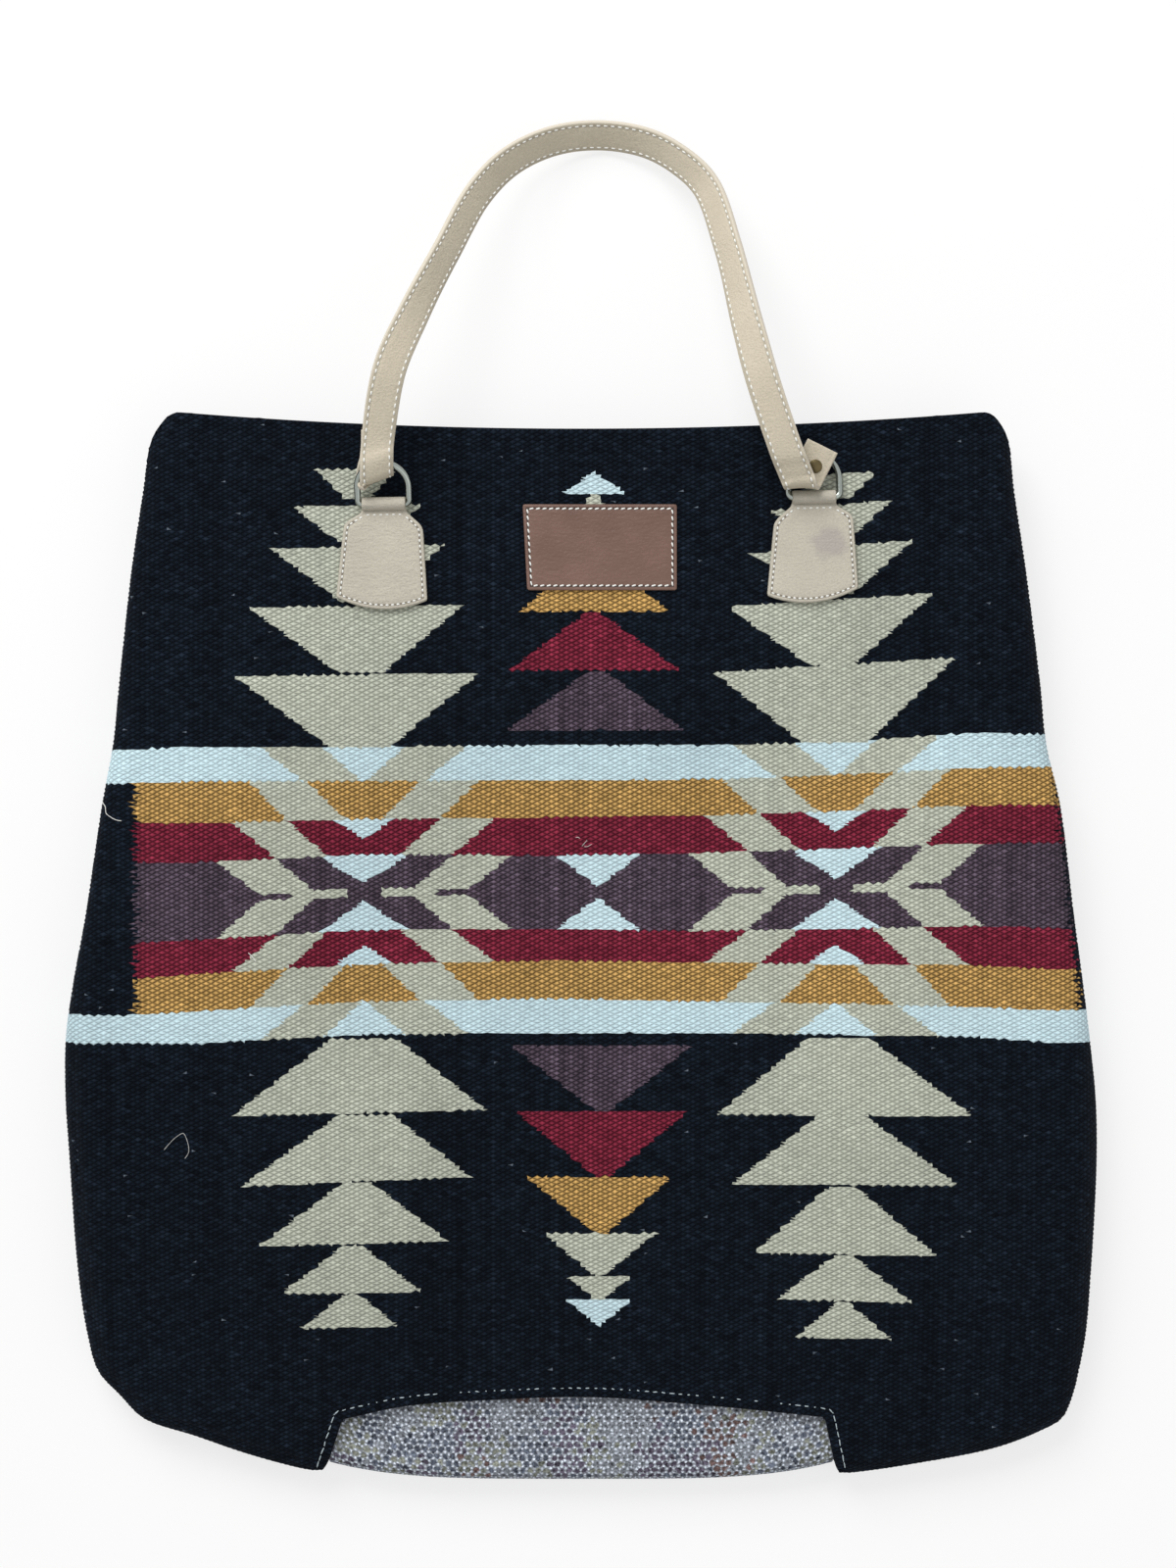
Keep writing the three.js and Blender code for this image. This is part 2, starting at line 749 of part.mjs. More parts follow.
const patch = piece('patch', patchGeometry(), brownLeather);
const patchY = bodyHeight - patchBelowRim - patchHeight / 2;
patch.position.set(frontShift + patchShift, patchY, frontTop + fit);

const bag = new THREE.Group();
bag.add(
  piece('front_panel', panelGeometry(1), wovenCloth),
  piece('back_panel', panelGeometry(-1), wovenCloth),
  piece('bottom_panel', baseGeometry(), knit),
  patch,
  frontHandle,
  backHandle,
);

// The origin is the middle of the footprint, on the table
const box = new THREE.Box3().setFromObject(bag, true);
const middle = box.getCenter(new THREE.Vector3());
bag.position.set(-middle.x, -middle.y, -box.min.z);

const tote = new THREE.Group();
tote.add(bag);

export default tote;
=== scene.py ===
"""A flat-woven tote bag lying on its back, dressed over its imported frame.

Sizes are millimetres in bag coordinates: x across from the frame's middle, y up from the base
edge of the panels, z up from the table. to_frame() turns them into the frame's metres.
"""
import json
import math
from functools import partial

import bpy
import numpy as np
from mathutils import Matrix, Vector
from mathutils.geometry import delaunay_2d_cdt


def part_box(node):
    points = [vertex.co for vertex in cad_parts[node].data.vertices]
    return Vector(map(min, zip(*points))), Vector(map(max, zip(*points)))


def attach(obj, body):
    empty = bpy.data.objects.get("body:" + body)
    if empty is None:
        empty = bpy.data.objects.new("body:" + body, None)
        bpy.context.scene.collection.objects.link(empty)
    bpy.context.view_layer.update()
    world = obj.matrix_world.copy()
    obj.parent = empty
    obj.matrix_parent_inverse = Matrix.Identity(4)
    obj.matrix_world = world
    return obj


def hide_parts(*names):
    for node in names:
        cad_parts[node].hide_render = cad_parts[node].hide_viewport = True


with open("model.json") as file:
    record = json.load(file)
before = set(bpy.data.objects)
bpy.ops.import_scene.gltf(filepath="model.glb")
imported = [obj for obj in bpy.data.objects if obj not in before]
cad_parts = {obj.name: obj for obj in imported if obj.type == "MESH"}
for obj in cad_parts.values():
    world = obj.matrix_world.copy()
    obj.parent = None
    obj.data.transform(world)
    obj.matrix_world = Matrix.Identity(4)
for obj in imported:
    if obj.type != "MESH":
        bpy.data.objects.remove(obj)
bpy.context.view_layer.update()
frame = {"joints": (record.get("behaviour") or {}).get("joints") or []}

metre = 1000.0
quarter = math.pi / 2
upright = np.array((0.0, 0.0, 1.0))
random = np.random.default_rng(7)

# Places that come from the frame
panel_low, panel_high = (np.array(corner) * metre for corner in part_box("front_panel"))
base_y = panel_low[1]
front_top = panel_high[2]
hinges = {joint["name"]: joint for joint in frame["joints"]}
front_bar, back_bar = (np.array(hinges[name]["pos_m"]) * metre - (0, base_y, 0)
                       for name in ("front_swing", "back_swing"))
front_axis = hinges["front_swing"]["axis"]
front_turn = math.atan2(front_axis[1], front_axis[0])
left_tab, right_tab = (np.mean(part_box(f"front_{side}_tab"), axis=0) * metre for side in ("left", "right"))
half_spacing = np.linalg.norm(right_tab - left_tab) / 2
bar_rise = front_bar[2] - front_top
back_lift = back_bar[2] + bar_rise

# Cloth body
cloth_thickness = 4.5
cloth_gap = 0.3
cloth_coarse = 16
cloth_margin = 12
base_top = 27.0
level_from = 150.0
lift_from, lift_to = 200.0, 310.0
seam_gap = 0.15
seam_inset = 7.0
seam_width = 1.5
seam_depth = 1.2
slack_depth = 1.4
slack_wave = np.array((61.0, 83.0))
slack_shift = (0.8, 0.4)
tight_from, tight_to = 330.0, 420.0
warp_pitch = 2.78
bead_height = 2.70
bead_relief = 0.45
rim_height = 604.3
rim_corner_rise = 8.8
rim_corner_at = 222.0
rim_round_from = 229.0
rim_round = 17.0
rim_round_drop = 13.0
rim_round_most = 2
outline_spacing = 6.0
line_spacing = 1.0
near_line = 1.0

# Outline of the bag as it lies, points of height and x from the mouth down to the base
left_outline = [
    (640, -236), (613, -241), (602, -246.7), (571, -251.2), (525, -258), (458, -265.3), (424, -268.7),
    (390, -274.9), (323, -285), (289, -291.4), (255, -296.6), (220, -297.4), (186, -295.3),
    (118, -290.3), (83.5, -285.6), (61.6, -279.7), (47.7, -267.3), (33.9, -253.8), (23.5, -223.7),
    (13.2, -194.1), (5.2, -165), (3.5, -156), (3.6, -150), (5.5, -144),
]
right_outline = [
    (640, 236), (613, 241), (602, 245.1), (571, 248.5), (525, 255.3), (458, 263.7), (424, 267.1),
    (390, 275), (323, 283.4), (289, 288.1), (255, 292.8), (220, 296.9), (186, 297.6), (118, 294.3),
    (83.5, 291.9), (61.6, 288.2), (47.7, 285), (33.9, 278.9), (26.9, 267), (16.6, 240.3),
    (6.3, 187.4), (3, 165), (1.9, 154), (2.2, 149), (4, 144),
]

# Arched notch for the knitted base
notch_outline = [(-151, -8), (-147, 6), (-137.4, 35.8), (-100.3, 43.7), (-44.5, 47.6), (7.4, 48.7),
                 (61.5, 44.8), (115, 39.7), (140.4, 36.9), (146.6, 7.6), (150, -8)]
notch_corners = (2, 8)
notch_reach = 152.0
notch_spacing = 2.5
knit_thickness = 2.0
knit_coarse = 9
knit_border = (8.0, 4.0)
knit_margin = 7.0
knit_sag = 2.0
knit_end_rise = 10.0
knit_half = 146.0
knit_tuck = 4.0
knit_draw_in = 5.0
knit_draw_reach = 38.0
knit_crown = 47.5
knit_shoulder = 35.0
hole_pitch = 4.5
hole_row = 3.8
hole_depth = 0.9

# Straps: pairs of inset from the edge and share of the half thickness make the padded profile
strap_width = 18.9
strap_thickness = 3.0
stitch_margin = 2.3
strap_rim = [(0, 0.45), (0.2, 0.85), (0.6, 1), (1.6, 1.02), (stitch_margin, 0.86), (3.1, 1.04), (6, 1.08)]
strap_crown = 1.1
skew_before, skew_after = 12.0, 25.0
peek_reach = 8.0

# Tabs and patch: pairs of inset and share of the thickness make the edge of the leather
leather_levels = [(0.2, 0), (0, 0.25), (0, 0.72), (0.25, 0.93), (0.8, 1), (1.7, 1), (stitch_margin, 0.92),
                  (2.9, 1)]
cut_rows, groove_rows = (0, 1), (5, 6)
plate_shares = (0.9, 0.72, 0.54, 0.36, 0.18, 0.04)
tab_thickness = 3.0
tab_puff = 0.25
tab_spacing = 1.2
tab_length = 60.0
tab_sag = 6.0
tab_bottom = 52.0
tab_shoulder = 45.0
tab_shoulder_drop = 12.0
neck_width = 24.8
neck_top = 0.5
neck_drop = 4.5
neck_ease = 2.0
neck_plain = 3.0
tab_lie = {"front_left": (0.039, -0.051), "front_right": (0.028, 0.064)}
patch_thickness = 1.6
patch_puff = 0.1
patch_spacing = 1.3
patch_taper = 2.6
patch_corner = 1.3
roll_radius = 3.75
roll_bevel = 0.3
roll_sides = 40
bore_radius = 2.25

# Stitches: how far apart, which share of that shows, and which share of the leather's thickness they lie at
stitch_radius = 0.48
stitch_share = 0.66
strap_pitch = 4.2
strap_seat = 0.43
tab_pitch = 3.1
tab_seat = 0.94
tab_hem_clear = 2.2
row_drop = 1.7
row_margin = 1.5
row_stitches = 7
patch_pitch = 3.7
patch_seat = 0.93
patch_share = 0.78
patch_hem_inset = 2.6
patch_slant = math.radians(14)
hem_pitch = 4.8
hem_shown = (0.5, 4.0)
hem_least = 0.8
hem_radius = 0.34
hem_inset = 5.4
hem_from = 4.0
hem_steep = 0.6
hem_askew = math.tan(math.radians(6))

# Metal
wire = 3.8
ring_inside = 25.4
ring_depth = 24.5
ring_corner = 2.6
rivet_head = 7.8
rivet_shank = 3.4
rivet_head_thickness = 0.8


def srgb(colours):
    """Linear colours of 8-bit ones."""
    values = np.array(colours) / 255
    return np.where(values <= 0.04045, values / 12.92, ((values + 0.055) / 1.055) ** 2.4)


# Yarns: colour, strength of the painted shade between their beads and the painted highlight on them, how much
# the beads differ from each other, and how much one upright row of them differs from the next
yarns = {
    "black": ((14, 20, 28), 1.4, 0.26, 0.1),
    "white": ((187, 210, 217), 0.42, 0.03, 0.01),
    "gold": ((160, 127, 75), 1.75, 0.09, 0.03),
    "red": ((104, 33, 49), 1.7, 0.13, 0.05),
    "mauve": ((70, 60, 71), 1.7, 0.13, 0.13),
    "tan": ((171, 175, 161), 0.72, 0.05, 0.015),
}
yarn_names = list(yarns)
yarn_dyes, yarn_bead_shading, yarn_spread, yarn_streak = (np.array(values) for values in zip(*yarns.values()))
yarn_colours = srgb(yarn_dyes)
speck_colour = srgb((80, 88, 98))
speck_share = 0.001


# Curves

def smooth(value, low, high):
    """0 below low, 1 above high and a soft step between."""
    share = np.clip((np.asarray(value, float) - low) / (high - low), 0, 1)
    return share * share * (3 - 2 * share)


def unit(vectors):
    return vectors / np.linalg.norm(vectors, axis=-1, keepdims=True)


def square_to(vectors, ways):
    """Unit vectors that are left when what runs along the ways is taken off."""
    return unit(vectors - (vectors * ways).sum(1, keepdims=True) * ways)


def lengths_along(path):
    steps = np.linalg.norm(np.diff(path, axis=0), axis=1)
    return np.concatenate([[0], np.cumsum(steps)])


def read_off(at, lengths, values):
    """Rows of values at lengths along the path they belong to."""
    return np.stack([np.interp(at, lengths, column) for column in values.T], axis=1)


def evenly(path, spacing):
    """The same path with points spacing apart."""
    lengths = lengths_along(path)
    count = max(2, int(round(lengths[-1] / spacing)) + 1)
    return read_off(np.linspace(0, lengths[-1], count), lengths, path)


def spline(points, spacing):
    """Points spacing apart on a centripetal Catmull-Rom curve through points."""
    steps = 24
    points = np.asarray(points, float)
    points = np.vstack([2 * points[0] - points[1], points, 2 * points[-1] - points[-2]])
    fine = []
    for p0, p1, p2, p3 in zip(points[:-3], points[1:-2], points[2:-1], points[3:]):
        t1, t2, t3 = np.cumsum([math.sqrt(np.linalg.norm(b - a)) for a, b in ((p0, p1), (p1, p2), (p2, p3))])
        t = np.linspace(t1, t2, steps, endpoint=False)[:, None]
        a1 = p0 + (p1 - p0) * t / t1
        a2 = p1 + (p2 - p1) * (t - t1) / (t2 - t1)
        a3 = p2 + (p3 - p2) * (t - t2) / (t3 - t2)
        b1 = a1 + (a2 - a1) * t / t2
        b2 = a2 + (a3 - a2) * (t - t1) / (t3 - t1)
        fine.append(b1 + (b2 - b1) * (t - t1) / (t2 - t1))
    return evenly(np.vstack(fine + [points[-2:-1]]), spacing)


def directions(path, ring=False):
    if ring:
        return unit(np.roll(path, -1, axis=0) - np.roll(path, 1, axis=0))
    return unit(np.gradient(path, axis=0))


def leftward(ways):
    """Flat directions turned a quarter to the left."""
    return np.column_stack([-ways[:, 1], ways[:, 0]])


def at_height(flat, height):
    return np.column_stack([flat, np.full(len(flat), height)])


def circle(centre, radius, first, second, count):
    """Points round a centre, in the plane of two directions."""
    angles = np.linspace(0, 2 * math.pi, count + 1)[:-1]
    return centre + radius * (np.outer(np.cos(angles), first) + np.outer(np.sin(angles), second))


def nearest(path, place):
    """Index of the point of a path that is nearest to a place."""
    return np.linalg.norm(path - place, axis=1).argmin()


# Pieces

def to_frame(points):
    return (np.asarray(points, float) + (0, base_y, 0)) / metre


def new_object(name, data):
    item = bpy.data.objects.new(name, data)
    bpy.context.scene.collection.objects.link(item)
    return item


def new_piece(name, points, faces, materials, body, slot, node=None, indices=None):
    """A mesh that rides on a body, in the place of a node of the frame where one is given."""
    cap_sides = 5
    mesh = bpy.data.meshes.new(name)
    mesh.from_pydata(to_frame(points).tolist(), [], faces)
    for material in materials:
        mesh.materials.append(material)
    if indices is not None:
        mesh.polygons.foreach_set("material_index", indices)
    mesh.polygons.foreach_set("use_smooth", [len(face) < cap_sides for face in faces])
    piece = new_object(name, mesh)
    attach(piece, body)
    if node is not None:
        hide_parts(node)
    return piece


def skin(loops, ring=False):
    """Points and faces over loops of as many points each, capped at both ends unless it is a ring."""
    count = len(loops)
    sides = len(loops[0])
    faces = []
    for i in range(count if ring else count - 1):
        here = i * sides
        after = (i + 1) % count * sides
        for k in range(sides):
            m = (k + 1) % sides
            faces.append((here + k, here + m, after + m, after + k))
    if not ring:
        faces.append(tuple(reversed(range(sides))))
        faces.append(tuple(range((count - 1) * sides, count * sides)))
    return np.vstack(loops), faces


def joined(shapes):
    """Points and faces of several shapes as those of one."""
    starts = np.cumsum([0] + [len(points) for points, _ in shapes]).tolist()
    faces = [tuple(v + start for v in face) for start, (_, own) in zip(starts, shapes) for face in own]
    return np.vstack([points for points, _ in shapes]), faces


# Cloth body

def topside(y):
    return base_top + (front_top - base_top) * smooth(y, 0, level_from)


def underside(y):
    return back_lift * smooth(y, lift_from, lift_to)


def half_thickness(y):
    return (topside(y) - underside(y)) / 2


def mid_height(y):
    return (topside(y) + underside(y)) / 2


def rim_line(x):
    rise = rim_corner_rise * (np.asarray(x) / rim_corner_at) ** 2
    past = np.clip((np.abs(x) - rim_round_from) / rim_round, 0, rim_round_most)
    return rim_height + rise - rim_round_drop * past ** 2


def body_outline():
    """Edge of the lying bag, from the left of the mouth round the base to the right of the mouth."""
    left, right = (spline([(x, y) for y, x in side], outline_spacing)
                   for side in (left_outline, right_outline))
    return np.vstack([left, right[::-1]])


def notch_line():
    points = np.array(notch_outline, float)
    first, last = notch_corners
    arch = spline(points[first:last + 1], notch_spacing)
    left, right = (evenly(side, notch_spacing) for side in (points[:first + 1], points[last:]))
    return np.vstack([left[:-1], arch, right[1:]])


outline = body_outline()
notch = notch_line()


def nearest_on(line, points):
    """Signed distance of points to the left of a line, the nearest places on it and its normals there."""
    best = np.full(len(points), np.inf)
    foot = np.zeros_like(points)
    normal = np.zeros_like(points)
    for a, b in zip(line[:-1], line[1:]):
        along = b - a
        share = np.clip(((points - a) @ along) / (along @ along), 0, 1)
        place = a + share[:, None] * along
        distance = np.linalg.norm(points - place, axis=1)
        closer = distance < best
        best[closer] = distance[closer]
        foot[closer] = place[closer]
        normal[closer] = (-along[1], along[0]) / np.linalg.norm(along)
    side = np.where(((points - foot) * normal).sum(1) < 0, -1, 1)
    clear = best > near_line
    normal[clear] = unit((points - foot)[clear]) * side[clear, None]
    return best * side, foot, normal


def sag(plan):
    """Slack of the front: shallow hollows away from the leather and the edges."""
    waves = 0.5 + 0.5 * np.sin(plan / slack_wave + slack_shift).prod(1)
    return slack_depth * (1 - smooth(plan[:, 1], tight_from, tight_to)) * waves


def side_turn(flat):
    """Radius of the bag's round side beside points of the flat cloth, and the spare cloth of its turn."""
    radius = half_thickness(np.maximum(flat[:, 1], 0))
    return radius, radius * (quarter - 1)


def body_surface(flat, inset, side):
    """Places on the bag of points of the flat cloth, inset below its outer face."""
    delta, foot, normal = nearest_on(outline, flat)
    radius, spare = side_turn(flat)
    along = np.maximum(delta + spare, 0)
    turn = np.minimum(along / radius, quarter)
    depth = np.where(turn < quarter, radius - (radius - inset) * np.cos(turn), along - spare)
    plan = foot + normal * depth[:, None]
    level = np.maximum(plan[:, 1], 0)
    rise = np.maximum((half_thickness(level) - inset) * np.sin(turn), seam_gap)
    if side > 0:
        at_seam = (plan[:, 0] < 0) * np.exp(-((depth - seam_inset) / seam_width) ** 2)
        slack = sag(plan) * np.sin(turn) + seam_depth * at_seam
        rise = np.maximum(rise - slack, seam_gap)
    return np.column_stack([plan, mid_height(level) + side * rise])


def cloth_edges(flat):
    """Signed distances of points of the flat cloth to a panel's seam, rim and notch, and places there."""
    delta, foot, normal = nearest_on(outline, flat)
    _, spare = side_turn(flat)
    cut, cut_foot, _ = nearest_on(notch, flat)
    rim = rim_line(flat[:, 0])
    places = [foot - normal * spare[:, None], np.column_stack([flat[:, 0], rim]), cut_foot]
    return np.array([delta + spare, rim - flat[:, 1], cut]), places


def in_cloth(flat):
    """True for points of the flat cloth that lie on a panel."""
    (seam, rim, cut), _ = cloth_edges(flat)
    in_notch = (flat[:, 1] < notch[:, 1].max()) & (cut < 0) & (np.abs(flat[:, 0]) < notch_reach)
    return (seam > 0) & (rim > 0) & ~in_notch


def to_cloth_edge(flat):
    """Moves points near the edge of a panel onto that edge."""
    distances, places = cloth_edges(flat)
    return np.choose(np.abs(distances).argmin(0)[:, None], places)


# A pattern of cells over a cloth: the step of its grid, a cell's corners in steps from its middle, which
# places of the grid are middles, how far a middle rises and how far places wander. Each cell is a fan of
# triangles, and star gives a place in the cell for the three corners of each.

def fan(middle, firsts, seconds):
    return np.array([place for first, second in zip(firsts, seconds) for place in (middle, first, second)])


diamond = [(1, 0), (0, 1), (-1, 0), (0, -1)]
weave = {
    "step": (warp_pitch, bead_height / 2),
    "corners": diamond,
    "middle": lambda column, row: (column + row) % 2 == 0,
    "rise": bead_relief,
    "wander": (0.24, 0.17),
    "star": fan((0, 0), diamond, diamond[1:] + diamond[:1]),
}
net = {
    "step": (hole_pitch / 2, hole_row / 3),
    "corners": [(1, 1), (0, 2), (-1, 1), (-1, -1), (0, -2), (1, -1)],
    "middle": lambda column, row: (row % 3 == 0) & ((column + row // 3) % 2 == 0),
    "rise": -hole_depth,
    "wander": (0.34, 0.3),
    "star": fan((0, 0.5), [(1, 0)] * 6, [(1, 1)] * 6),
}


def cells(pattern, bounds, keep):
    """Points of a pattern's grid, and the middles and corners of the cells kept as places in it."""
    border = 2
    columns, rows = (np.arange(math.floor(low / step) - border, math.ceil(high / step) + border + 1)
                     for low, high, step in zip(*bounds, pattern["step"]))
    i, k = np.meshgrid(np.arange(len(columns)), np.arange(len(rows)), indexing="ij")
    grid = np.column_stack([columns[i].ravel(), rows[k].ravel()]) * pattern["step"]
    inner = (np.minimum(i, len(columns) - 1 - i) >= border) & (np.minimum(k, len(rows) - 1 - k) >= border)
    centres = np.flatnonzero((pattern["middle"](columns[i], rows[k]) & inner).ravel())
    centres = centres[keep(grid[centres])]
    corners = np.stack([centres + across * len(rows) + up for across, up in pattern["corners"]], axis=1)
    return grid, centres, corners


def open_edges(corners):
    """Sides of cells that no other cell has."""
    ends = np.stack([corners, np.roll(corners, -1, axis=1)], axis=2).reshape(-1, 2)
    _, first, met = np.unique(np.sort(ends, axis=1), axis=0, return_index=True, return_counts=True)
    return ends[first[met == 1]]


def inner_sheet(rim, loops, bounds, keep, coarse):
    """Flat points and faces of a coarse sheet within a rim, and what each point of the rim became."""
    same_place = 1e-6
    xs, ys = (np.arange(low, high, coarse) for low, high in zip(*bounds))
    filling = np.array([(x, y) for x in xs for y in ys])
    filling = filling[keep(filling)]
    filling = filling[[np.linalg.norm(rim - p, axis=1).min() > coarse / 2 for p in filling]]
    seeds = [Vector(p) for p in np.vstack([rim, filling])]
    flat, _, faces, origin, _, _ = delaunay_2d_cdt(seeds, loops, [], 1, same_place)
    became = {source: n for n, sources in enumerate(origin) for source in sources}
    return np.array(flat), faces, became


def dress_sheet(mesh, pattern, colours, hidden, plan, bounds):
    """Colours of a sheet and places in its cells, and places for baking with the hidden faces in a strip."""
    outer_share, hidden_share, hidden_from = 0.95, 0.04, 0.955
    shown = 3 * colours.shape[0] * colours.shape[1]
    colour = np.ones((len(mesh.loops), 4))
    colour[:, :3] = hidden
    colour[:shown] = np.repeat(colours.reshape(-1, 4), 3, axis=0)
    mesh.color_attributes.new("yarn", "FLOAT_COLOR", "CORNER")
    mesh.color_attributes["yarn"].data.foreach_set("color", colour.ravel())
    bead = np.zeros((len(mesh.loops), 2))
    bead[:shown] = np.tile(pattern["star"], (len(colours), 1))
    mesh.uv_layers.new(name="bead").data.foreach_set("uv", bead.ravel())
    spot = np.zeros(len(mesh.loops), int)
    mesh.loops.foreach_get("vertex_index", spot)
    low, high = bounds
    bake = (plan[spot] - low) / np.subtract(high, low) * (1, outer_share)
    bake[shown:] = bake[shown:] * (1, hidden_share) + (0, hidden_from)
    mesh.uv_layers.new(name="OFBake").data.foreach_set("uv", bake.ravel())


def bead_sheet(name, slot, node, material, pattern, bounds, keep, to_edge, surface, thickness, coarse,
               paint, hidden):
    """A closed sheet: a pattern of cells on its outer face, a coarse inner face and an edge between them."""
    toward_edge = 0.8
    grid, centres, corners = cells(pattern, bounds, keep)
    count, sides = corners.shape
    used, index = np.unique(np.concatenate([centres, corners.ravel()]), return_inverse=True)
    centre_of = index[:count]
    corner_of = index[count:].reshape(-1, sides)
    edge = open_edges(corner_of)
    rim = np.unique(edge)
    flat = grid[used] + random.standard_normal((len(used), 2)) * pattern["wander"]
    flat[rim] = to_edge(grid[used][rim])
    inset = np.zeros(len(flat))
    inset[centre_of] = -pattern["rise"]
    outer = surface(flat, inset)
    loops = np.searchsorted(rim, edge).tolist()
    inner_flat, inner_faces, became = inner_sheet(flat[rim], loops, bounds, keep, coarse)
    inner = surface(inner_flat, np.full(len(inner_flat), thickness))

    hubs = np.repeat(centre_of[:, None], sides, axis=1)
    beads = np.stack([hubs, corner_of, np.roll(corner_of, -1, axis=1)], axis=2)
    faces = beads.reshape(-1, 3).tolist()
    faces += [tuple(len(flat) + v for v in reversed(face)) for face in inner_faces]
    for (a, b), (rim_a, rim_b) in zip(edge.tolist(), loops):
        if became[rim_a] != became[rim_b]:
            faces.append((b, a, len(flat) + became[rim_a], len(flat) + became[rim_b]))
    piece = new_piece(name, np.vstack([outer, inner]), faces, [material], "bag", slot, node)
    spots = outer[hubs] + toward_edge * (outer[beads].mean(2) - outer[hubs])
    colours = paint(spots, flat[centre_of])
    dress_sheet(piece.data, pattern, colours, hidden, np.vstack([flat, inner_flat]), bounds)
    legs = outer[beads][:, :, 1:] - outer[beads][:, :, :1]
    area = np.linalg.norm(np.cross(legs[:, :, 0], legs[:, :, 1]), axis=2).sum() / 2
    return piece, area / metre ** 2


# Motif, in millimetres from its middle

motif_middle = (8.5, 339.4)
stripe_stations = [-267.3, -228.2, -132, -26.8, 62.6, 137, 213.6, 261.1]
stripe_lines = [
    [81.6, 83.3, 83.3, 84.2, 84.2, 86.1, 91.1, 90.6],
    [62.4, 63.5, 63.7, 64.3, 64.6, 67.1, 71.3, 71.9],
    [39.7, 39.7, 41.9, 43.1, 44.2, 46.4, 49.8, 50],
    [17.3, 17.3, 21.8, 21.2, 22.9, 25.2, 28, 28.5],
    [-29.1, -26.8, -21.2, -20.7, -21.8, -20.7, -19, -20.1],
    [-49.8, -46.4, -40.8, -38.6, -39.7, -40.8, -41.4, -43.6],
    [-69.9, -67.7, -62.1, -60.4, -62.1, -63.2, -65.4, -67.1],
    [-86.1, -86.1, -81.1, -80, -80, -81.1, -82.2, -85.6],
]
stripe_yarns = ["white", "gold", "red", "mauve", "red", "gold", "white"]
stripes_end_left = -262.8
stripes_end_right = (262.8, 277.0)
stripes_half = 70
ragged_waves = ((2.0, 1.9), (1.6, 4.7))

# Crossings of the stripes: far and near edge of the arms in each stripe, half width and share of the
# stripe's height of the triangles, and start, stop and half height of the bars in the middle
crossings = [-132.5, 137]
arms = {
    "white": ((59.3, 34.7), (23.5, 1.1)),
    "gold": ((65.4, 43.6), (32.4, 10.1)),
    "red": ((75.5, 49.8), (43.6, 20.7)),
    "mauve": ((84.4, 57.6), (50.9, 25.7)),
}
triangles = {"red": (17.3, 0.55), "mauve": (25.7, 0.76)}
middle_triangle = (24, 0.86)
middle_triangle_at = 1.1
middle_bars = {"mauve": (42, 60, 1.7), "tan": (9.5, 28, 2.5)}

# Each tier of a tree: left and right end of its wide edge, then left, right and height of its narrow one
tree_tiers = [
    ((-159.9, 241.6), (-114.1, 242.1), (-143.2, -128.6, 224.8)),
    ((-173.4, 220.3), (-99, 222), (-146, -123, 199.6)),
    ((-185.7, 196.3), (-86.7, 198.5), (-145.4, -123, 166.1)),
    ((-198, 162.7), (-75.5, 164.4), (-147.6, -121.3, 125.8)),
    ((-206.3, 123.6), (-66.5, 125.3), (-151.5, -118, 82.8)),
    ((110.2, 237.1), (160.5, 240.5), (128.6, 144.3, 224.8)),
    ((100.1, 218.1), (169.4, 224.2), (128.6, 144.8, 201.9)),
    ((87.8, 193.5), (181.2, 201.3), (126.4, 147.1, 171.1)),
    ((74.9, 163.3), (192.9, 171.1), (121.9, 146.5, 129.7)),
    ((67.1, 125.8), (205.2, 134.2), (118, 154.9, 85.6)),
    ((-208, -127.5), (-62.6, -124.1), (-151, -113.5, -83.3)),
    ((-202.4, -167.8), (-71.6, -162.2), (-147.1, -115.8, -126.9)),
    ((-192.9, -201.9), (-83.9, -199.1), (-144.3, -128.1, -165.5)),
    ((-180.6, -229.8), (-99.5, -228.2), (-143.7, -133.6, -201.3)),
    ((-168.9, -250), (-113.5, -248.3), (-143.2, -135.9, -229.3)),
    ((68.8, -126.9), (215.3, -127.5), (121.3, 156, -82.8)),
    ((77.2, -166.6), (207.5, -167.2), (126.4, 153.8, -127.5)),
    ((90, -205.8), (195.2, -207.5), (133.1, 148.2, -167.8)),
    ((103.5, -232.6), (181.2, -234.9), (137, 146.5, -206.9)),
    ((114.1, -255), (168.9, -256.1), (138.7, 144.3, -234.3)),
]
# Middle column: yarn, left, right and height of the wide edge, and of the narrow one
column_tiers = [
    ("white", (-19, 17.9, 227.6), (-1.1, -1.1, 240.5)),
    ("tan", (-7.8, 4.5, 218.6), (-3.4, 1.7, 227.6)),
    ("gold", (-43.6, 42.5, 160.5), (-1.7, -1.7, 195.2)),
    ("red", (-49.8, 48.1, 126.9), (-5.6, 2.2, 159.9)),
    ("mauve", (-50.9, 50.3, 92.8), (-4.5, 5.6, 126.4)),
    ("mauve", (-48.7, 54.8, -87.2), (0, 7.8, -124.7)),
    ("red", (-45.9, 52.6, -124.7), (0, 7.8, -162.2)),
    ("gold", (-39.7, 43.1, -162.2), (0, 6.2, -194.6)),
    ("tan", (-29.6, 34.1, -194.6), (-0.6, 3.9, -219.2)),
    ("tan", (-16.2, 20.7, -219.2), (-0.6, 3.9, -233.2)),
    ("white", (-17.3, 21.2, -232.6), (1.1, 2.2, -248.3)),
]


def dye(yarn, where, name):
    yarn[where] = yarn_names.index(name)


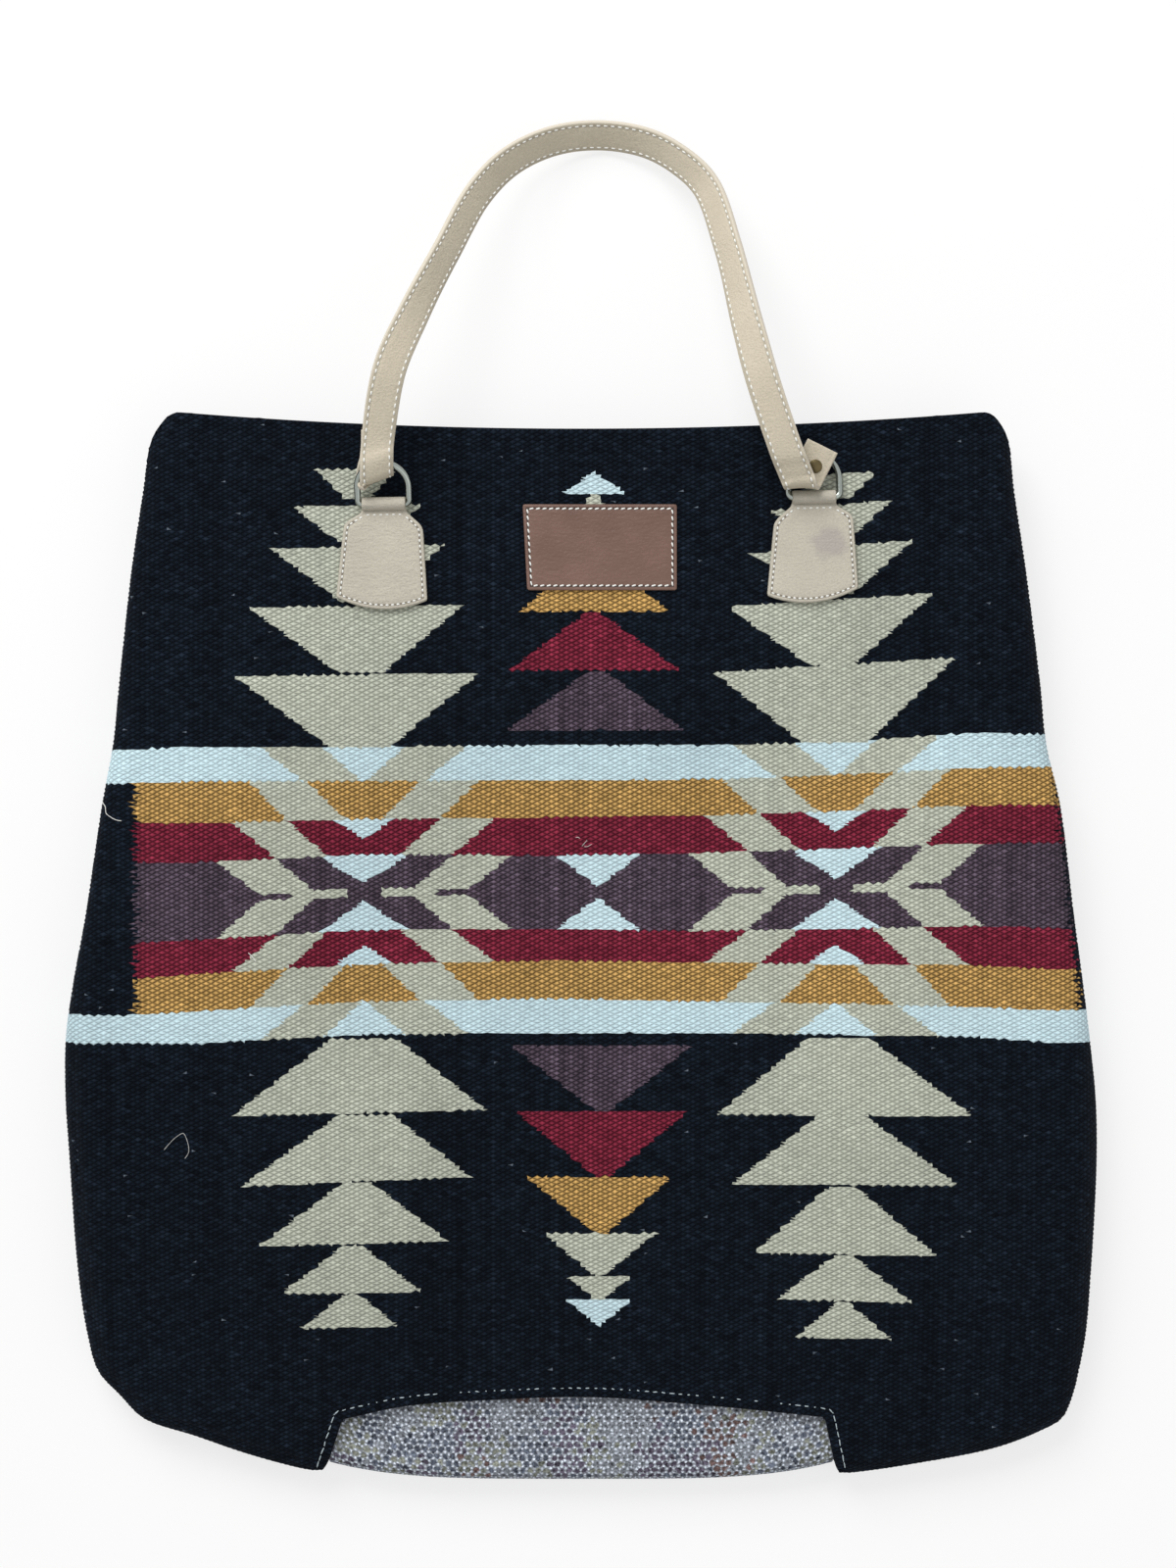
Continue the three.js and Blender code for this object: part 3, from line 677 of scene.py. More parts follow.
def dye_tier(yarn, x, y, left, right, narrow, name):
    """Dyes a tier between the ends of its wide edge and its narrow edge."""
    narrow_left, narrow_right, level = narrow
    corners = [left, right, (narrow_right, level), (narrow_left, level)]
    hit = np.zeros(x.shape, bool)
    for (ax, ay), (bx, by) in zip(corners, corners[1:] + corners[:1]):
        if ay != by:
            crosses = (ay > y) != (by > y)
            hit ^= crosses & (x < (bx - ax) * (y - ay) / (by - ay) + ax)
    dye(yarn, hit, name)


def dye_crossings(yarn, x, y, lines):
    """Tan arms that cross the stripes in chevrons, with the small triangles between them."""
    middle = (lines[3] + lines[4]) / 2
    offs = [np.abs(x - crossing) for crossing in crossings]
    for k, name in enumerate(arms):
        upper = (lines[k], lines[k + 1] if k < 3 else middle)
        lower = (lines[7 - k], lines[6 - k] if k < 3 else middle)
        for outer, inner in (upper, lower):
            share = (y - outer) / (inner - outer)
            here = (share >= 0) & (share <= 1)
            far, near = (start + (stop - start) * share for start, stop in arms[name])
            for off in offs:
                dye(yarn, here & (off < far) & (off > near), "tan")
                if name in triangles:
                    half, tall = triangles[name]
                    dye(yarn, here & (off < half * (1 - share / tall)), "white")
            if name == "mauve":
                half, tall = middle_triangle
                dye(yarn, here & (np.abs(x - middle_triangle_at) < half * (1 - share / tall)), "white")
    for off in offs:
        for name, (start, stop, half) in middle_bars.items():
            dye(yarn, (off > start) & (off < stop) & (np.abs(y - middle) < half), name)


def motif(x, y):
    """Index of the yarn at places on a panel."""
    x = x - motif_middle[0]
    y = y - motif_middle[1]
    lines = [np.interp(x, stripe_stations, line) for line in stripe_lines]
    yarn = np.zeros(x.shape, int)
    right_end = np.interp(-y, [-stripes_half, stripes_half], stripes_end_right)
    ragged = sum(size * np.sin(y * rate) for size, rate in ragged_waves)
    for k, name in enumerate(stripe_yarns):
        here = (y <= lines[k]) & (y > lines[k + 1])
        if name != "white":
            here &= (x > stripes_end_left + ragged) & (x < right_end + ragged)
        dye(yarn, here, name)
    dye_crossings(yarn, x, y, lines)
    for left, right, narrow in tree_tiers:
        dye_tier(yarn, x, y, left, right, narrow, "tan")
    for name, (left, right, wide), narrow in column_tiers:
        dye_tier(yarn, x, y, (left, wide), (right, wide), narrow, name)
    return yarn


def woven_paint(side, spots, flat):
    """Colours of the triangles of each bead at spots, with the strength of the yarn's painted bead shading as
    a fourth value.
    """
    across = spots[..., 0] if side > 0 else 2 * motif_middle[0] - spots[..., 0]
    yarn = motif(across, spots[..., 1])
    column = np.round(flat[:, 0] / warp_pitch).astype(int)
    column -= column.min()
    streak = random.standard_normal(column.max() + 1)[column, None]
    spread = random.standard_normal((len(flat), 1))
    shade = np.exp(yarn_spread[yarn] * spread + yarn_streak[yarn] * streak)
    colour = yarn_colours[yarn] * shade[..., None]
    specks = (yarn == yarn_names.index("black")) & (random.random(yarn.shape) < speck_share)
    colour[specks] = speck_colour
    return np.concatenate([colour, yarn_bead_shading[yarn][..., None]], axis=2)


def woven_panel(name, side, node):
    bounds = ((outline[:, 0].min() - cloth_margin, -cloth_margin),
              (outline[:, 0].max() + cloth_margin, rim_height + cloth_margin))
    piece, area = bead_sheet(
        name, "woven_wool", node, wool, weave, bounds, in_cloth, to_cloth_edge,
        partial(body_surface, side=side), cloth_thickness, cloth_coarse, partial(woven_paint, side),
        yarn_colours[yarn_names.index("black")],
    )
    if side < 0:
        piece.data.flip_normals()


# Knitted base

knit_radius = half_thickness(0) - cloth_thickness - cloth_gap
# Colours in the knit's holes: partly what shows through them, partly painted shade in the holes.
hole_colours = srgb([(82, 88, 100), (118, 121, 112), (99, 81, 79), (84, 78, 92), (110, 114, 121)])
hole_shares = (0.34, 0.2, 0.11, 0.15, 0.2)
hole_patches = 130
hole_blur = 4.5
hole_spread = 0.22
knit_inside = srgb((90, 90, 98))


def knit_low(x):
    return -knit_sag + knit_end_rise * (x / knit_half) ** 4


def knit_leaf(x):
    """Length of cloth from the fold to the hidden edge of one leaf."""
    share = x / knit_half
    top = knit_crown + (knit_shoulder - knit_crown) * share * share + knit_margin
    return quarter * knit_radius + top - knit_low(x) - knit_radius


def knit_surface(flat, inset):
    """Places of the strip: x across, and the way round the fold from front to back in y."""
    x, way = flat.T
    radius = knit_radius - inset
    turn = np.clip(np.abs(way) / knit_radius, 0, quarter)
    past = np.maximum(np.abs(way) - knit_radius * quarter, 0)
    y = knit_low(x) + knit_radius - radius * np.cos(turn) + past
    level = np.maximum(y, 0)
    swell = half_thickness(level) - half_thickness(0)
    z = mid_height(level) + np.sign(way) * (radius * np.sin(turn) + swell)
    return np.column_stack([x, y, z])


def knit_room(flat):
    """Half width of the strip, a little less at its fold, and length of a leaf, at points of it."""
    near_fold = np.clip(1 - np.abs(flat[:, 1]) / knit_draw_reach, 0, 1)
    return knit_half + knit_tuck - knit_draw_in * near_fold, knit_leaf(flat[:, 0])


def in_knit(flat):
    half, leaf = knit_room(flat)
    return (np.abs(flat[:, 0]) < half) & (np.abs(flat[:, 1]) < leaf)


def to_knit_edge(flat):
    half, leaf = knit_room(flat)
    at_side = half - np.abs(flat[:, 0]) < leaf - np.abs(flat[:, 1])
    x = np.where(at_side, np.sign(flat[:, 0]) * half, flat[:, 0])
    y = np.where(at_side, flat[:, 1], np.sign(flat[:, 1]) * leaf)
    return np.column_stack([x, y])


def knit_paint(spots, flat):
    """Colours of the hollows between the threads, dark partly by painted shade, much the same over small
    patches.
    """
    middles = random.uniform(flat.min(0), flat.max(0), (hole_patches, 2))
    drawn = random.choice(len(hole_colours), hole_patches, p=hole_shares)
    near = flat + hole_blur * random.standard_normal(flat.shape)
    patch = np.linalg.norm(near[:, None] - middles[None], axis=2).argmin(1)
    shade = np.exp(hole_spread * random.standard_normal(len(flat)))
    colour = np.column_stack([hole_colours[drawn[patch]] * shade[:, None], np.ones(len(flat))])
    return np.repeat(colour[:, None], spots.shape[1], axis=1)


def knitted_base():
    leaf = knit_leaf(0.0)
    reach = np.array((knit_half, leaf)) + knit_border
    piece, area = bead_sheet(
        "knitted_base", "knit", "bottom_panel", knit, net, (-reach, reach), in_knit, to_knit_edge,
        knit_surface, knit_thickness, knit_coarse, knit_paint, knit_inside,
    )


# Stitches

def stitches(name, places, along, out, length, material, body, slot, radius=stitch_radius):
    """Short threads that dip into the leather or the cloth at both ends."""
    stops, sides = 6, 6
    thinnest, flatness, top, dip = 0.04, 0.8, 0.55, 0.9
    loops = []
    for stop in np.linspace(-1, 1, stops):
        thick = radius * math.sqrt(max(1 - stop ** 4, thinnest))
        middle = (stop / 2, 0, radius * (top - dip * stop ** 4))
        loops.append(circle(middle, thick, (0, 1, 0), flatness * upright, sides))
    shape, faces = skin(loops)
    across = np.cross(out, along)
    reach = np.broadcast_to(np.asarray(length, float), len(places))[:, None, None]
    points = (places[:, None] + shape[None, :, 0:1] * reach * along[:, None]
              + shape[None, :, 1:2] * across[:, None] + shape[None, :, 2:3] * out[:, None])
    new_piece(name, *joined([(own, faces) for own in points]), [material], body, slot)


def stitch_places(path, pitch):
    """Middles and directions of stitches along a path."""
    lengths = lengths_along(path)
    count = max(2, int(lengths[-1] / pitch))
    at = (np.arange(count) + 0.5) * lengths[-1] / count
    return read_off(at, lengths, path), unit(read_off(at, lengths, directions(path)))


def notch_stitches(side):
    """A row of topstitching on the cloth round the notch, some of it sunk in the weave."""
    line = notch[notch[:, 1] > hem_from]
    row = evenly(line + leftward(directions(line)) * hem_inset, line_spacing)
    at, along = stitch_places(body_surface(row, np.zeros(len(row)), side), hem_pitch)
    shown = random.uniform(*hem_shown, len(at))
    shown[np.abs(along[:, 1]) > hem_steep] = hem_pitch
    seen = shown > hem_least
    at, along = at[seen], along[seen]
    out = square_to(np.tile(upright * side, (len(at), 1)), along)
    along = unit(along + np.cross(out, along) * random.normal(0, hem_askew, (len(at), 1)))
    name = "front_notch_stitches" if side > 0 else "back_notch_stitches"
    stitches(name, at, along, out, shown[seen], hem_thread, "bag", "knit", hem_radius)


# Straps

fold_ease = 0.4
fold_radius = (wire + strap_thickness) / 2 + fold_ease
tail_apart = strap_thickness / 2 + rivet_head_thickness / 2 + cloth_gap
bulge_at = ring_depth + 3.5
meet_at = ring_depth + 9.0

# Ends of the straps: a closed one holds its ring, an open one lies folded on a ring that rests on the cloth
rest_turn = math.asin((wire / 2 + cloth_gap - bar_rise) / ring_depth)
straight_end = {"slant": 0.0, "tail_slant": 0.0, "skew": 0.0, "peek": 0.0, "rivet_aside": 0.0}
closed_end = {**straight_end, "open": False, "fold": 12.0, "rivet": ring_depth + 13, "tail": ring_depth + 21}
front_left = {
    **closed_end, "x": -half_spacing - 3.2, "fold": 13.6, "ring": math.radians(26), "leg": math.radians(17),
    "slant": math.radians(3), "tail_slant": math.radians(-3), "skew": math.tan(math.radians(19)),
    "peek": 2.6,
}
front_right = {
    **straight_end, "x": half_spacing - 7.9, "open": True, "ring": rest_turn, "fold": 4.3, "rivet": 7.8,
    "tail": 18.2, "leg": 13.0, "tail_rise": math.radians(12), "leg_rise": math.radians(27), "lift": 1.4,
    "slant": math.radians(-22), "tail_slant": math.radians(-27), "rivet_aside": 1.3,
}
folded = {**closed_end, "ring": math.radians(158), "leg": math.radians(180)}
back_left = {**folded, "x": -half_spacing}
back_right = {**folded, "x": half_spacing}

# Ways of the straps between their ends: shares of the half spacing, of the reach and of the drop
front_reach = 216.5
leg_rise = 29.0
arch_level = 8.5
arch_tilt = math.radians(44)
front_shares = [
    (-0.951, 0.332, 0), (-0.833, 0.488, 0.09), (-0.69, 0.653, 0.29), (-0.537, 0.823, 0.56),
    (-0.381, 0.923, 0.77), (-0.177, 0.984, 0.93), (0.042, 1, 1), (0.256, 0.973, 0.936),
    (0.415, 0.915, 0.83), (0.526, 0.84, 0.69), (0.615, 0.664, 0.37), (0.693, 0.444, 0.1),
    (0.759, 0.29, 0.016),
]
back_reach = 212.0
back_half = [
    (-1, 0.236, 0), (-1, 0.36, 1), (-0.98, 0.46, 1), (-0.9, 0.58, 1), (-0.748, 0.741, 1), (-0.488, 0.91, 1),
]
back_shares = back_half + [(0, 1, 1)] + [(-x, y, drop) for x, y, drop in reversed(back_half)]


def end_point(end, along, above):
    """A place on a strap end: how far from the bar along the ring, and how far above its plane."""
    bend = end["leg"] if along > ring_depth else end["ring"]
    past = along - ring_depth
    y = ring_depth * math.cos(end["ring"]) + past * math.cos(bend) - above * math.sin(bend)
    z = ring_depth * math.sin(end["ring"]) + past * math.sin(bend) + above * math.cos(bend)
    return np.array((end["x"], y, z))


def bow_point(end, above):
    """A place at the bow of the ring, halfway between the ring's bend and the leg's."""
    just_past = ring_depth + 1e-6
    return (end_point(end, ring_depth, above) + end_point(end, just_past, above)) / 2


def fold_points(place):
    """Half turn of a fold from the tail's side to the leg's side."""
    steps = 9
    angles = -math.pi * np.linspace(0.5, 1.5, steps)
    return [place(fold_radius * math.cos(angle), fold_radius * math.sin(angle)) for angle in angles]


def closed_points(end, centre):
    """Turning points of an end that holds its ring: those of the tail, the fold and the leg."""
    place = partial(end_point, end)
    tail = [place(along, -tail_apart) for along in (end["tail"], end["rivet"], meet_at)]
    tail += [place(bulge_at, -fold_radius), bow_point(end, -fold_radius)]
    fold = fold_points(lambda along, above: place(centre + along, above))
    leg = [bow_point(end, fold_radius), place(bulge_at, fold_radius), place(meet_at, tail_apart)]
    return tail, fold, leg


def open_points(end, centre):
    """The same for an end that has come off its ring and lies folded on it."""
    tail_z = (wire + strap_thickness) / 2 + cloth_gap + end["lift"]
    leg_z = tail_z + 2 * fold_radius

    def place(past, level, rise=0.0):
        return np.array((end["x"], centre + past, level + past * math.tan(rise)))

    tail = [place(past, tail_z, end["tail_rise"]) for past in (end["tail"], end["rivet"])]
    fold = fold_points(lambda along, above: place(along, tail_z + fold_radius + above))
    leg = [place(past, leg_z, end["leg_rise"]) for past in (end["leg"] / 2, end["leg"])]
    return tail, fold, leg


def end_path(end):
    """Turning points from the tail's tip round the fold to the leg, and the index of the fold's middle."""
    centre = end["fold"] + fold_radius + strap_thickness / 2
    tail, fold, leg = open_points(end, centre) if end["open"] else closed_points(end, centre)
    path = np.array(tail + fold + leg)
    lengths = lengths_along(path)
    middle = len(tail) + len(fold) // 2
    slant = np.where(np.arange(len(path)) < middle, end["tail_slant"], end["slant"])
    path[:, 0] += (lengths - lengths[middle]) * np.tan(slant)
    path[:middle, 0] -= end["peek"] * np.exp(-((lengths[:middle] - lengths[len(tail)]) / peek_reach) ** 2)
    return path, middle


def strap_line(ends, route, highest):
    """Middle line of a strap, and the lengths along it where its arch starts and stops."""
    first, last = (end_path(end)[0] for end in ends)
    path = spline(np.vstack([first, route, last[::-1]]), line_spacing)
    path[:, 2] = np.minimum(path[:, 2], highest)
    lengths = lengths_along(path)
    return path, lengths[nearest(path, first[-1])], lengths[nearest(path, last[-1])]


def strap_across(path, start, stop, tilt, ends):
    """Width direction: level, outward and skewed at the rings, leaning up by tilt over the arch."""
    tiny = 1e-6
    along = directions(path)
    lengths = lengths_along(path)
    lateral = np.zeros_like(path)
    lateral[:, 0] = np.where(lengths < lengths[-1] / 2, -1, 1)
    lateral = square_to(lateral, along)
    out = np.cross(upright, along)
    out = out / np.maximum(np.linalg.norm(out, axis=1, keepdims=True), tiny)
    lean = out * math.cos(tilt) + np.cross(along, out) * math.sin(tilt)
    share = smooth(np.minimum(lengths - start, stop - lengths), 0, (stop - start) / 4)[:, None]
    across = unit(lateral * (1 - share) + lean * share)
    skew = ends[0]["skew"] * (1 - smooth(lengths, start - skew_before, start + skew_after))
    skew = skew + ends[1]["skew"] * smooth(lengths, stop - skew_after, stop + skew_before)
    across[:, 1] += skew * across[:, 0]
    return across


def strap_section():
    """Places across and above the middle of a padded strap with stitch grooves, all round."""
    top = strap_thickness / 2
    upper = [(strap_width / 2 - inset, top * level) for inset, level in strap_rim]
    upper = upper + [(0, top * strap_crown)] + [(-w, t) for w, t in reversed(upper)]
    return np.array(upper + [(w, -t) for w, t in reversed(upper)])


def strap_piece(side, path, across, face, folds, body):
    """A strap along its path, stitched along both edges between the folds of its two ends."""
    section = strap_section()
    wide, thick = section[None, :, :1], section[None, :, 1:]
    points, faces = skin(path[:, None] + (wide * across[:, None] + thick * face[:, None]))
    sides = len(section)
    half = sides // 2
    cut = (0, 1, half - 2, half - 1, half, sides - 2, sides - 1)
    groove = (3, 4, half - 5, half - 4, half + 3, half + 4, sides - 5, sides - 4)
    places = [divmod(k, sides) for k in range(len(faces) - 2)]
    slots = [1 if row in cut else 2 if row in groove and folds[0] <= at < folds[1] else 0
             for at, row in places]
    new_piece(f"{side}_strap", points, faces, [strap_leather, cut_leather, strap_groove], body,
              "pale_leather", f"{side}_handle", slots + [1, 1])
    rows = []
    for edge, sign in ((-1, -1), (-1, 1), (1, -1), (1, 1)):
        line = path + across * edge * (strap_width / 2 - stitch_margin)
        line = line + face * sign * strap_thickness * strap_seat
        at, way = stitch_places(line, strap_pitch)
        index = np.array([nearest(line, p) for p in at])
        sewn = (index >= folds[0]) & (index <= folds[1])
        rows.append((at[sewn], way[sewn], face[index[sewn]] * sign))
    at, way, out = (np.vstack(values) for values in zip(*rows))
    stitches(f"{side}_strap_stitches", at, way, square_to(out, way), strap_pitch * stitch_share, thread, body,
             "pale_leather")


# Rings and rivets

def arc(x, y, radius, start, stop, count):
    angles = np.radians(np.linspace(start, stop, count))
    return np.column_stack([x + radius * np.cos(angles), y + radius * np.sin(angles), np.zeros(count)])


def ring_line():
    corner_steps, bow_steps, bar_steps = 7, 48, 7
    half = (ring_inside + wire) / 2
    straight = half - ring_corner
    bar = np.zeros((bar_steps, 3))
    bar[:, 0] = np.linspace(-straight, straight, bar_steps + 2)[1:-1]
    return np.vstack([
        arc(straight, ring_corner, ring_corner, -90, 0, corner_steps),
        arc(0, ring_depth - half, half, 0, 180, bow_steps),
        arc(-straight, ring_corner, ring_corner, 180, 270, corner_steps), bar,
    ])


def ring_piece(name, settle, x, turn, body):
    sides = 16
    line = ring_line()
    out = np.cross(directions(line, ring=True), upright)
    points, faces = skin([circle(c, wire / 2, o, upright, sides) for c, o in zip(line, out)], ring=True)
    spin = np.array(((1, 0, 0), (0, math.cos(turn), -math.sin(turn)), (0, math.sin(turn), math.cos(turn))))
    new_piece(f"{name}_wire_ring", settle(points @ spin.T + (x, 0, 0)), faces, [nickel], body, "nickel",
              f"{name}_ring")


def rivet_piece(name, centre, axis, body):
    """A rivet through a strap tail, one flat head and one domed head on its axis."""
    sides, tip, bevel, brim = 24, 0.05, 0.2, 0.35
    aside = (1, 0, 0.01)
    half, shank = rivet_head / 2, rivet_shank / 2
    seat = strap_thickness / 2 + cloth_gap / 2
    outer = seat + rivet_head_thickness
    profile = [
        (tip, -seat - 2 * bevel), (half - bevel, -seat - 2 * bevel), (half, -seat - bevel), (half, -seat),
        (shank, -seat), (shank, seat), (half, seat), (half, seat + brim), (half - 2 * bevel, outer - bevel),
        (half / 2, outer + bevel / 2), (tip, outer + bevel),
    ]
    across = unit(np.cross(axis, aside))
    third = np.cross(axis, across)
    points, faces = skin([circle(centre + height * axis, radius, across, third, sides)
                          for radius, height in profile])
    new_piece(f"{name}_brass_rivet", points, faces, [old_brass], body, "old_brass", f"{name}_rivet")


# Tabs and patch

def inward(loop, offset):
    """A closed flat loop drawn in by offset; places that come too near another part of it are closed up."""
    slack = 0.05
    moved = loop + leftward(directions(loop, ring=True)) * offset
    apart = np.linalg.norm(moved[:, None] - loop[None], axis=2).min(1)
    good = np.flatnonzero(apart > offset - slack)
    every = np.arange(len(loop))
    return np.stack([np.interp(every, good, column[good], period=len(loop)) for column in moved.T], axis=1)


def plate(loop, bottom, thickness, puff):
    """Closed leather plate over a counterclockwise loop, and its slots: 1 for cut leather, 2 for a groove in
    painted shadow.
    """
    loops = [at_height(inward(loop, inset), bottom + share * thickness) for inset, share in leather_levels]
    last = loops[-1]
    middle = last.mean(0)
    for share in plate_shares:
        loops.append(middle + (last - middle) * share + (0, 0, puff * (1 - share * share)))
    points, faces = skin(loops)
    rows = [k // len(loop) for k in range(len(faces))]
    return points, faces, [1 if row in cut_rows else 2 if row in groove_rows else 0 for row in rows]


def rounded(corners, radii, spacing):
    """A closed loop through corners, each cut by a curve of its radius."""
    steps = 7
    corners = np.array(corners, float)
    share = np.linspace(0, 1, steps)[:, None]
    path = []
    for k, corner in enumerate(corners):
        start, stop = (corner + unit(corners[m % len(corners)] - corner) * radii[k] for m in (k - 1, k + 1))
        path.append((1 - share) ** 2 * start + 2 * share * (1 - share) * corner + share ** 2 * stop)
    path = np.vstack(path + [path[0][:1]])
    return evenly(path, spacing)[:-1]


def tab_loop():
    """Edge of a tab: points of x, y and the radius of the corner there, from the neck round to the left."""
    arc_points, arc_radius = 11, 0.8
    half, bottom = neck_width / 2, tab_bottom / 2
    foot = tab_sag - tab_length
    left = [(-half, -neck_top, 0.6), (-half, -neck_drop, 2.5), (-tab_shoulder / 2, -tab_shoulder_drop, 3.5),
            (-bottom, foot, 1.2)]
    right = [(-x, y, radius) for x, y, radius in reversed(left)]
    share = np.linspace(0, 1, arc_points + 2)[1:-1]
    sagging = foot - 2 * tab_sag * 2 * share * (1 - share)
    low = [(x, y, arc_radius) for x, y in zip(bottom * (2 * share - 1), sagging)]
    every = np.array(right[-1:] + left + low + right[:-1])
    return rounded(every[:, :2], every[:, 2], tab_spacing)


def tab_shape(loop):
    """Points, faces and slots of a flat tab with a rolled neck, without a groove at the neck."""
    points, faces, slots = plate(loop, cloth_gap, tab_thickness, tab_puff)
    neck = loop[:, 1] > -neck_drop - neck_plain
    slots = [0 if slot == 2 and neck[k % len(loop)] else slot for k, slot in enumerate(slots)]
    end, shoulder = 0.5, 0.47
    left = [(-end, bore_radius), (-end, roll_radius - roll_bevel), (-shoulder, roll_radius)]
    profile = left + [(-share, radius) for share, radius in reversed(left)]
    roll = skin([circle((share * neck_width, 0, bar_rise), radius, (0, 1, 0), upright, roll_sides)
                 for share, radius in profile], ring=True)
    ends = (0, len(profile) - 2)
    slots += [1 if k // roll_sides in ends else 0 for k in range(len(roll[1]))]
    return *joined([(points, faces), roll]), slots


def tab_hem(loop):
    """Middles and directions of the stitches round a tab and in a row under its neck."""
    top = cloth_gap + tab_thickness * tab_seat
    hem = inward(loop, stitch_margin)
    hem = hem[hem[:, 1] < -neck_drop - tab_hem_clear]
    steps = np.linalg.norm(np.roll(hem, -1, axis=0) - hem, axis=1)
    hem = at_height(np.roll(hem, -int(np.argmax(steps)) - 1, axis=0), top)
    row_end, row_y = neck_width / 2 - row_margin, -neck_drop - row_drop
    row = np.array([(-row_end, row_y, top), (row_end, row_y, top)])
    both = stitch_places(hem, tab_pitch), stitch_places(row, neck_width / row_stitches)
    return [np.vstack(values) for values in zip(*both)]


def tab_piece(name, settle, x):
    """A bell-shaped leather tab with a rolled neck, lying on the cloth under the bar of its ring."""
    leather = marked_leather if name == "front_right" else pale_leather
    loop = tab_loop()
    hang = smooth(-loop[:, 1], neck_drop - neck_ease, tab_shoulder_drop)
    loop = loop + loop[:, ::-1] * tab_lie.get(name, (0, 0)) * hang[:, None]
    points, faces, slots = tab_shape(loop)
    at, way = tab_hem(loop)
    out = np.tile(upright, (len(at), 1))
    under = np.array((x, 0, -bar_rise))
    new_piece(f"{name}_leather_tab", settle(points + under), faces, [leather, cut_leather, tab_groove], "bag",
              "pale_leather", f"{name}_tab", slots)
    stitches(f"{name}_leather_tab_stitches", settle(at + under), settle(way, False), settle(out, False),
             tab_pitch * stitch_share, thread, "bag", "pale_leather")


def patch_piece():
    low, high = (np.array(corner) * metre - (0, base_y, 0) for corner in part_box("patch"))
    x, y, _ = (high - low) / 2
    place = (*(low + high)[:2] / 2, low[2])
    corners = [(x, y), (-x, y), (patch_taper - x, -y), (x, -y)]
    loop = rounded(corners, [patch_corner] * len(corners), patch_spacing)
    points, faces, slots = plate(loop, 0, patch_thickness, patch_puff)
    new_piece("leather_patch", points + place, faces, [brown_leather, cut_brown, brown_groove], "bag",
              "brown_leather", "patch", slots)
    hem = inward(loop, patch_hem_inset)
    hem = at_height(np.vstack([hem, hem[:1]]), patch_thickness * patch_seat) + place
    at, way = stitch_places(hem, patch_pitch)
    out = np.tile(upright, (len(at), 1))
    way = way * math.cos(patch_slant) + np.cross(out, way) * math.sin(patch_slant)
    stitches("leather_patch_stitches", at, way, out, patch_pitch * patch_share, thread, "bag",
             "brown_leather")


# Handles

def settler(bar, turn, turn_over):
    """Moves what is drawn about the bars of two rings to where they lie; directions are only turned."""
    flip = np.array((-1, 1, -1)) if turn_over else np.array((1, 1, 1))
    spin = np.array(((math.cos(turn), -math.sin(turn), 0), (math.sin(turn), math.cos(turn), 0), (0, 0, 1)))
    return lambda vectors, places=True: (vectors * flip) @ spin.T + (bar if places else 0)


def handle(side, settle, ends, names, line, tilt):
    """A strap with its tabs, rings and rivets, drawn about the bars of the rings."""
    body = f"{side}_grip"
    path, start, stop = line
    across = strap_across(path, start, stop, tilt, ends)
    turns = [end_path(end) for end in ends]
    rivets = [nearest(path, points[1]) for points, middle in turns]
    folds = [nearest(path, points[middle]) for points, middle in turns]
    path, across = settle(path), settle(across, False)
    face = unit(np.cross(directions(path), across))
    strap_piece(side, path, across, face, folds, body)
    for end, at, hand, sign in zip(ends, rivets, names, (-1, 1)):
        name = f"{side}_{hand}"
        x = sign * half_spacing
        tab_piece(name, settle, x)
        ring_piece(name, settle, x, end["ring"], body)
        rivet_piece(name, path[at] + across[at] * end["rivet_aside"], face[at], body)


def front_handle():
    arch_drop = leg_rise + front_top - arch_level
    route = [(x * half_spacing, y * front_reach, leg_rise - drop * arch_drop - bar_rise)
             for x, y, drop in front_shares]
    ends = (front_left, front_right)
    line = strap_line(ends, np.array(route), math.inf)
    handle("front", settler(front_bar, front_turn, False), ends, ("left", "right"), line, arch_tilt)


def back_handle():
    """The same for the strap that lies folded under the bag."""
    floor_level = back_lift - strap_thickness / 2 - cloth_gap - bar_rise
    over_tail = ring_depth * math.sin(folded["ring"]) - tail_apart
    route = [(x * half_spacing, -y * back_reach, over_tail + (floor_level - over_tail) * drop)
             for x, y, drop in back_shares]
    ends = (back_left, back_right)
    line = strap_line(ends, np.array(route), floor_level)
    handle("back", settler(back_bar, 0.0, True), ends, ("right", "left"), line, 0.0)


# Pale hairs of lint on the front: radius, then the places they pass through
lint_hairs = [
    (0.2, [(-276.3, 391.7), (-272.4, 388.5), (-271.4, 384.8), (-268, 382.3), (-264.6, 380.8),
           (-262.2, 380.5)]),
    (0.13, [(-3, 371), (-1.8, 371.1), (-0.6, 370.5)]),
    (0.1, [(0.6, 366), (2.2, 367.9), (3.4, 369.3)]),
    (0.1, [(1.8, 365.7), (3.8, 365.9), (6, 367.1)]),
    (0.2, [(-189.9, 305.1), (-187.6, 302.9), (-185.5, 300)]),
    (0.1, [(-237.9, 192.7), (-234.4, 196.8), (-230.5, 200.4), (-227, 202.1), (-225.3, 199.4), (-223.9, 194.2),
           (-224, 191), (-226.1, 187.7)]),
]


def lint():
    """A few loose hairs that lie on the cloth."""
    sides, spacing = 5, 0.6
    hairs = []
    for radius, places in lint_hairs:
        flat = spline(places, spacing)
        line = body_surface(flat, np.full(len(flat), -bead_relief - radius), 1)
        along = directions(line)
        across = unit(np.cross(upright, along))
        above = np.cross(along, across)
        hairs.append(skin([circle(c, radius, a, u, sides) for c, a, u in zip(line, across, above)]))
    new_piece("lint", *joined(hairs), [thread], "bag", "woven_wool")


# Shader nodes

def feed(node, inputs):
    """Gives inputs of a node an output of another one each, or a constant."""
    for key, value in inputs.items():
        socket = node.inputs[key]
        if isinstance(value, bpy.types.NodeSocket):
            socket.id_data.links.new(value, socket)
        else:
            socket.default_value = value


